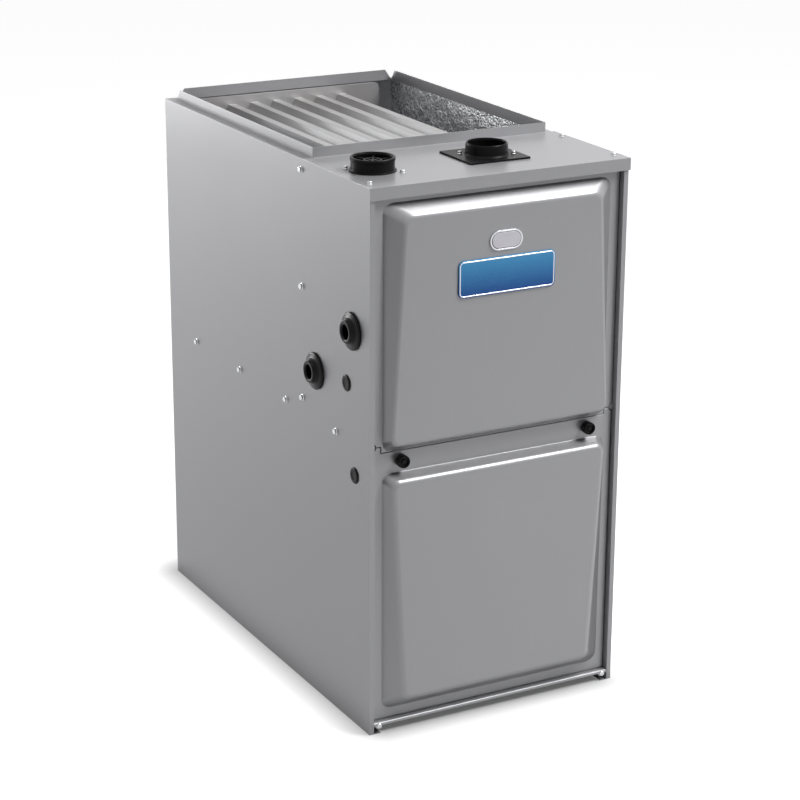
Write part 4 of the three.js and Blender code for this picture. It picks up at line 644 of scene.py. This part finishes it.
def bisected(piece, test, point, normal):
    """Cuts the faces that pass the test along a plane."""
    pick(piece, "FACE", test)
    bpy.ops.mesh.bisect(plane_co=[c * MM for c in point], plane_no=normal)


def inside(points, axis, low, high):
    return all(low - 0.01 <= p[axis] <= high + 0.01 for p in points)


def past(points, x):
    """The points all lie further out than x on one side."""
    return min(p.x for p in points) > x or max(p.x for p in points) < -x


def door_skin(name, bottom, top):
    """The flat outer face of a door, from its bottom to its top edge."""
    piece = begun(name, bpy.ops.mesh.primitive_plane_add, size=1, rotation=(math.pi / 2, 0, 0),
                  location=(0, 0, 0))
    piece.scale = (DOOR_WIDTH * MM, 1, (top - bottom) * MM)
    piece.location = (0, DOOR_PLANE * MM, (bottom + top) / 2 * MM)
    bpy.ops.object.transform_apply(location=True, rotation=True, scale=True)
    return piece


def press_out(piece, base, face, corner, lip, foot):
    """Pushes the base rectangle out to the face trapezium and rounds its corners, its lip and its foot."""
    (half, low, high), (low_half, face_low, high_half, face_high) = base, face
    for side in (-1, 1):
        bisected(piece, lambda pts: inside(pts, 0, -199, 199), (side * half, 0, 0), (1, 0, 0))
    for z in (low, high):
        bisected(piece, lambda pts: inside(pts, 0, -half, half), (0, 0, z), (0, 0, 1))
    pick(piece, "FACE", lambda pts: inside(pts, 0, -half, half) and inside(pts, 2, low, high))
    bpy.ops.mesh.extrude_region_move(
        TRANSFORM_OT_translate={"value": (0, (PRESSING_FRONT - DOOR_PLANE) * MM, 0)})
    for side in (-1, 1):
        for z, new_z, new_half in ((low, face_low, low_half), (high, face_high, high_half)):
            pick(piece, "VERT", lambda pts: pts[0].y < PRESSING_FRONT + 1 and pts[0].x * side > 0
                 and abs(pts[0].z - z) < 1)
            bpy.ops.transform.translate(value=(side * (new_half - half) * MM, 0, (new_z - z) * MM))

    def slanted(pts):
        return abs(pts[0].y - pts[1].y) > 15

    def on_front(pts):
        return max(p.y for p in pts) < PRESSING_FRONT + 0.1

    def on_foot(pts):
        return (min(p.y for p in pts) > DOOR_PLANE - 0.1 and inside(pts, 0, -half, half)
                and inside(pts, 2, low, high) and (all(abs(abs(p.x) - half) < corner + 1 for p in pts)
                                                   or all(abs(p.z - low) < corner + 1 for p in pts)
                                                   or all(abs(p.z - high) < corner + 1 for p in pts)))

    for test, width, segments in ((slanted, corner, 5), (on_front, lip, 4), (on_foot, foot, 3)):
        pick(piece, "EDGE", test)
        bpy.ops.mesh.bevel(offset=width * MM, segments=segments, profile=0.5, affect="EDGES",
                           clamp_overlap=True)


def hemmed(piece):
    """Turns the outer edge back by a hem, rounds the bend and gives the sheet its thickness."""
    only(piece)
    bpy.ops.object.mode_set(mode="EDIT")
    bpy.ops.mesh.select_mode(type="EDGE")
    bpy.ops.mesh.select_all(action="DESELECT")
    bpy.ops.mesh.select_non_manifold(extend=False)
    bpy.ops.mesh.extrude_region_move(
        TRANSFORM_OT_translate={"value": (0, (DOOR_BACK - DOOR_PLANE) * MM, 0)})
    modified(piece, "BEVEL", width=1.6 * MM, segments=3, limit_method="ANGLE", angle_limit=math.radians(60))
    everything(piece)
    bpy.ops.mesh.normals_make_consistent(inside=False)
    only(piece)
    widest = max(piece.data.polygons, key=lambda face: face.area)
    if widest.normal.y > 0:
        everything(piece)
        bpy.ops.mesh.flip_normals()
    modified(piece, "SOLIDIFY", thickness=SHEET * MM, offset=-1, use_even_offset=True)


def relieved(piece):
    """The half-round notches where the two doors meet at their edges."""
    for side in (-1, 1):
        notch = begun("relief", bpy.ops.mesh.primitive_cylinder_add, vertices=32, radius=5.8 * MM,
                      depth=0.06, rotation=(math.pi / 2, 0, 0),
                      location=(side * NOTCH[0] * MM, -0.36, NOTCH[1] * MM))
        carved(piece, notch)


def build_seam_tabs():
    """The round ends of the doors' hanging tabs, seen in the notches of the seam."""
    parts = [turned("seam_tab", (side * NOTCH[0], -363.9, NOTCH[1]), [(4.7, -12), (4.7, -0.6), (4.1, 0)], "-Y", 28)
             for side in (-1, 1)]
    done(joined("seam_tabs", parts), "cabinet_paint", angle=35)


def capsule(name, low, high):
    """A block with half-round ends, seen from the front."""
    piece = cube(name, low, high)
    radius = (high[2] - low[2]) / 2
    pick(piece, "EDGE", lambda pts: abs(pts[0].y - pts[1].y) > 0.5 and abs(pts[0].x - pts[1].x) < 0.1
         and abs(pts[0].z - pts[1].z) < 0.1)
    bpy.ops.mesh.bevel(offset=radius * 0.999 * MM, segments=10, profile=0.5, affect="EDGES")
    return piece


def build_upper_door():
    """The upper door: its pressing leans out towards the foot and has the window of the sight glass."""
    piece = door_skin("upper_door_skin", 458, 848)
    for side in (-1, 1):
        bisected(piece, lambda pts: True, (side * 197.5, 0, 0), (1, 0, 0))
    bisected(piece, lambda pts: past(pts, 197.4), (0, 0, 468), (0, 0, 1))
    pick(piece, "FACE", lambda pts: past(pts, 197.4) and inside(pts, 2, 457, 468))
    bpy.ops.mesh.delete(type="FACE")
    press_out(piece, (196.5, 459, 840), (190, 472, 169, 821.5), 13, 5, 0.45)
    hemmed(piece)
    relieved(piece)
    carved(piece, capsule("window", (-25, -400, 757), (25, -370, 781)))
    done(piece, "cabinet_paint", ["upper_door"], "upper_door", angle=40)


def build_lower_door():
    """The lower door: its pressing leans out towards the head and has the holes of the thumb screws."""
    piece = door_skin("lower_door_skin", 18.5, 467)
    for side in (-1, 1):
        bisected(piece, lambda pts: True, (side * 198.5, 0, 0), (1, 0, 0))
    bisected(piece, lambda pts: inside(pts, 0, -198.5, 198.5), (0, 0, 457), (0, 0, 1))
    pick(piece, "FACE", lambda pts: inside(pts, 0, -198.5, 198.5) and inside(pts, 2, 457, 468))
    bpy.ops.mesh.delete(type="FACE")
    press_out(piece, (197, 35.5, 423), (167, 53.5, 188, 414), 13, 7, 3)
    hemmed(piece)
    relieved(piece)
    for side in (-1, 1):
        hole = begun("screw_hole", bpy.ops.mesh.primitive_cylinder_add, vertices=24, radius=3.4 * MM,
                     depth=0.03, rotation=(math.pi / 2, 0, 0),
                     location=(side * THUMB_SCREW[0] * MM, DOOR_PLANE * MM, THUMB_SCREW[1] * MM))
        carved(piece, hole)
    done(piece, "cabinet_paint", ["lower_door"], "lower_door", angle=40)


def build_sight_glass():
    """A bright flat rim round a milky lens."""
    ring = capsule("sight_ring", (-28, -388.2, 754), (28, -386.3, 784))
    carved(ring, capsule("ring_hole", (-25.6, -392, 756.4), (25.6, -380, 781.6)))
    softened(ring, 0.5, 3, 50)
    done(ring, "bright_trim", ["sight_glass_ring"], "upper_door", angle=40)
    lens = capsule("sight_lens", (-24.6, -388.7, 757.4), (24.6, -385, 780.6))
    softened(lens, 1.3, 4, 50)
    done(lens, "sight_lens", ["sight_glass"], "upper_door", angle=50)


def build_badge():
    """A plain blue plate with a raised silver border."""
    plate = cube("badge_face_plate", (-81, -388.3, 687.6), (86, -386.3, 744.4))
    pick(plate, "EDGE", lambda pts: abs(pts[0].y - pts[1].y) > 1)
    bpy.ops.mesh.bevel(offset=8.5 * MM, segments=8, profile=0.5, affect="EDGES")
    only(plate)
    plate.data.materials.append(FINISH["badge_face"])
    plate.data.materials.append(FINISH["bright_trim"])
    pick(plate, "FACE", lambda pts: all(p.y < -388.2 for p in pts))
    bpy.ops.mesh.inset(thickness=1.5 * MM, depth=0)
    plate.active_material_index = 1
    bpy.ops.object.material_slot_assign()
    for thickness, depth in ((0.3, 0.35), (0.9, 0), (0.3, -0.35)):
        bpy.ops.mesh.inset(thickness=thickness * MM, depth=depth * MM)
    plate.active_material_index = 0
    bpy.ops.object.material_slot_assign()
    softened(plate, 0.12, 1, 40)
    done(plate, "badge_face", ["badge_plate"], "upper_door")


def build_thumb_screw(side, word):
    """A knurled black knob with a ring and a hollow middle, and its shank behind the door."""
    place = (side * THUMB_SCREW[0], DOOR_PLANE - 0.3, THUMB_SCREW[1])
    knob = turned(word + "_knob", place, [
        (3, -22), (3, 0), (7, 0), (7, 2.4), (9.6, 2.6), (10, 3.4), (10, 12.6), (9.4, 13.4), (8.4, 13.6),
        (7.4, 13.2), (6.9, 12.4), (6.7, 10.2), (4.2, 9.8), (3.9, 11.4), (1.5, 11.8)], "-Y", 48)

    def on_grip(points):
        point = points[0]
        reach = math.hypot(point.x - place[0], point.z - place[2])
        turn = round(math.degrees(math.atan2(point.z - place[2], point.x - place[0])) / 7.5)
        return reach > 9.9 and turn % 2 == 0

    pick(knob, "VERT", on_grip)
    middle = [c * MM for c in place]
    bpy.ops.transform.resize(value=(0.945, 1, 0.945), center_override=middle)
    done(knob, "black_plastic", [word + "_thumb_screw"], word + "_thumb_screw", angle=28)


# ---- Fittings on the left side and the top ----

def build_grommet(node):
    """A rubber pipe grommet: a thin rimmed disc, a shoulder and a short stub round its bore."""
    y, z = GROMMETS[node]
    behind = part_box(node)[1].x / MM + SIDE_X
    profile = [
        (25, -behind), (25, -0.6), (28.9, -0.4), (29.5, 0.6), (29.5, 2.2), (28.6, 3.4), (26.5, 4.1),
        (21.4, 5.2), (20.2, 6.4), (19.6, 7.6), (18.4, 8.3), (18.0, 9.2), (17.7, 11.4), (16.9, 12.6),
        (15.2, 13.0), (12.8, 12.7), (11.6, 11.8), (11.0, 10), (10.6, 4), (10.6, -behind)]
    piece = turned(node + "_ring", (-SIDE_X, y, z), profile, "-X", 56, hollow=True)
    done(piece, "black_rubber", [node], angle=40)


def build_hole_plug(node):
    """A snap-in plug: a shallow domed head over its hole."""
    low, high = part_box(node)
    y, z = (low.y + high.y) / 2 / MM, (low.z + high.z) / 2 / MM
    radius = (high.z - low.z) / 2 / MM
    behind = high.x / MM + SIDE_X
    piece = turned(node + "_cap", (-SIDE_X, y, z), [
        (radius * 0.8, -behind), (radius * 0.83, -1), (radius * 0.83, 0.1), (radius, 0.1), (radius, 0.8),
        (radius * 0.93, 1.7), (radius * 0.8, 2.2), (radius * 0.55, 2.1), (radius * 0.5, 1.5),
        (radius * 0.2, 1.4)], "-X", 40)
    done(piece, "black_plastic", [node], angle=35)


def build_intake_collar():
    """A round black collar with a lip, and guard bars sunk in its mouth."""
    x, y = INTAKE
    wall = turned("intake_wall", (x, y, TOP_Z), [
        (29, -28), (30, -28), (30, 0.2), (36, 0.2), (36, 1.6), (35.2, 2.3), (33.4, 2.6), (33, 4), (33, 15.5),
        (34, 16.6), (34, 20.4), (33.3, 21.3), (32, 21.5), (30.4, 21.1), (29.3, 19.4), (29, 17)],
        sides=64, hollow=True)
    parts = [wall]
    ring = turned("guard_ring", (x, y, TOP_Z), [(11, 12.5), (14, 12.5), (14, 16.5), (11, 16.5)], sides=32,
                  hollow=True)
    parts.append(ring)
    for turn in range(3):
        bar = begun("guard_bar", bpy.ops.mesh.primitive_cube_add, size=1, rotation=(0, 0, math.pi * turn / 3),
                    location=(x * MM, y * MM, (TOP_Z + 14.5) * MM), scale=(58 * MM, 3 * MM, 4 * MM))
        softened(bar, 0.6, 2)
        parts.append(bar)
    done(joined("intake_collar_body", parts), "black_plastic", ["intake_collar"], angle=35)


def build_exhaust_collar():
    """A round black collar on a square plate."""
    x, y = EXHAUST
    low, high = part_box("exhaust_collar")
    plate = cube("exhaust_plate", (low.x / MM, low.y / MM, TOP_Z + 0.2), (high.x / MM, high.y / MM, TOP_Z + 3))
    carved(plate, begun("plate_hole", bpy.ops.mesh.primitive_cylinder_add, vertices=64, radius=29.5 * MM,
                        depth=0.02, location=(x * MM, y * MM, TOP_Z * MM)))
    softened(plate, 0.7, 3, 60)
    neck = turned("exhaust_neck", (x, y, TOP_Z), [
        (29, -28), (30, -28), (30, 3), (35.5, 3), (34.4, 3.6), (33.3, 4.8), (33, 6.5), (32.4, 18.2),
        (31.8, 20.4), (30.8, 21.3), (29.8, 21), (29.2, 19.6), (29, 17)], sides=64, hollow=True)
    done(joined("exhaust_collar_body", [plate, neck]), "black_plastic", ["exhaust_collar"], angle=35)


def build_base_rail():
    """The rail under the lower door, with the rolled front edge that catches the light."""
    piece = merged_copy("front_base_rail")
    for inset, radius in ((0, 4.4), (1, 3.5)):
        y, z = RAIL_EDGE[0] + inset, RAIL_EDGE[1] - inset
        pick(piece, "EDGE", lambda pts: all(abs(p.y - y) < 0.1 and abs(p.z - z) < 0.1 for p in pts))
        bpy.ops.mesh.bevel(offset=radius * MM, segments=3, profile=0.5, affect="EDGES")
    done(piece, "cabinet_paint", ["front_base_rail"], angle=40)


def build_foil(side, node):
    """Foil faced glass wool: the facing is crumpled, and pillows a little between its folds."""
    low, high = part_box(node)
    inner = low.x if side > 0 else high.x
    depth, height = high.y - low.y, high.z - low.z
    facing = begun(node + "_facing", bpy.ops.mesh.primitive_grid_add, x_subdivisions=110, y_subdivisions=150,
                   size=1, rotation=(0, -side * math.pi / 2, 0))
    facing.scale = (1, depth - 0.001, height - 0.001)
    facing.location = (inner + side * 0.0042, (low.y + high.y) / 2, (low.z + high.z) / 2)
    bpy.ops.object.transform_apply(location=True, rotation=True, scale=True)
    for label, kind, size, strength in (("folds", "VORONOI", 0.014, 0.0022), ("pillow", "CLOUDS", 0.05, 0.003)):
        texture = bpy.data.textures.new(label, kind)
        texture.noise_scale = size
        modified(facing, "DISPLACE", texture=texture, strength=strength, mid_level=0.5, direction="X")
    modified(facing, "SOLIDIFY", thickness=0.0055, offset=-1)
    done(facing, "insulation_foil", [node], angle=12)


# ---- Sheet screws ----

def sheet_screw(place, axis, head=4.4):
    """A hex washer head: a thin flange, a twelve-sided head with a rounded top, and a short shank in the sheet."""
    flange = turned("screw_flange", place, [(1.8, -2.5), (1.8, 0.05), (head * 1.22, 0.05), (head * 1.22, 0.5),
                                            (head * 1.05, 1.0), (head * 0.9, 1.1)], axis, 20)
    top = turned("screw_head", place, [(head, 0.9), (head, 3.5), (head * 0.86, 4.2), (head * 0.7, 4.3),
                                       (head * 0.3, 4.35)], axis, 12)
    return [flange, top]


def build_screws():
    """The zinc screws of the sides, the top, the rail and the exhaust collar's plate."""
    rows = {
        "side_screws": ("-X", [(-SIDE_X, y, z) for y, z in (
            (-150, 850.3), (-149.3, 666.4), (-148.2, 485.9), (262.3, 465), (85.8, 465), (-88.4, 465),
            (-263.2, 465))]),
        "rail_screws": ("-Y", [(-205, -372.2, 12.5), (205, -372.2, 12.5)]),
        "top_screws": ("Z", [(-210, -350, TOP_Z), (210, -350, TOP_Z), (213, -197, TOP_Z),
                             (-195.8, -245.5, TOP_Z), (-133.2, -308.3, TOP_Z)]),
        "right_side_screws": ("X", [(SIDE_X - 1.1, y, z) for y, z in (
            (-150, 850.3), (-148.2, 485.9), (262.3, 465), (85.8, 465), (-88.4, 465), (-263.2, 465))]),
    }
    for name, (axis, places) in rows.items():
        parts = [part for place in places for part in sheet_screw(place, axis, 3.6 if axis == "Z" else 4.4)]
        done(joined(name, parts), "bright_trim", material=ZINC_SCREW, angle=30)
    parts = [part for place in ((-0.7, -245.8, TOP_Z + 3), (72.7, -282.2, TOP_Z + 3))
             for part in sheet_screw(place, "Z", 3.2)]
    done(joined("plate_screws", parts), "bright_trim", material=ZINC_SCREW, angle=30)


# ---- The whole furnace ----

def build_furnace():
    """Every piece that is modelled anew; the rest of the frame's nodes show as they are."""
    build_upper_door()
    build_lower_door()
    build_seam_tabs()
    build_sight_glass()
    build_badge()
    build_thumb_screw(-1, "left")
    build_thumb_screw(1, "right")
    for node in GROMMETS:
        build_grommet(node)
    build_hole_plug("upper_hole_plug")
    build_hole_plug("lower_hole_plug")
    build_intake_collar()
    build_exhaust_collar()
    build_foil(-1, "left_side_insulation")
    build_foil(1, "right_side_insulation")
    build_screws()
    build_base_rail()
    for node in ("left_side_panel", "right_side_panel", "back_panel", "top_cover"):
        copy_of_node(node, 0.45, 2)
    copy_of_node("heat_exchanger_baffle", 0.4, 2, material=BAFFLE)


dress_cad_nodes()
place_camera()
build_studio()
build_furnace()

scene = bpy.context.scene
scene.view_settings.view_transform = "Standard"
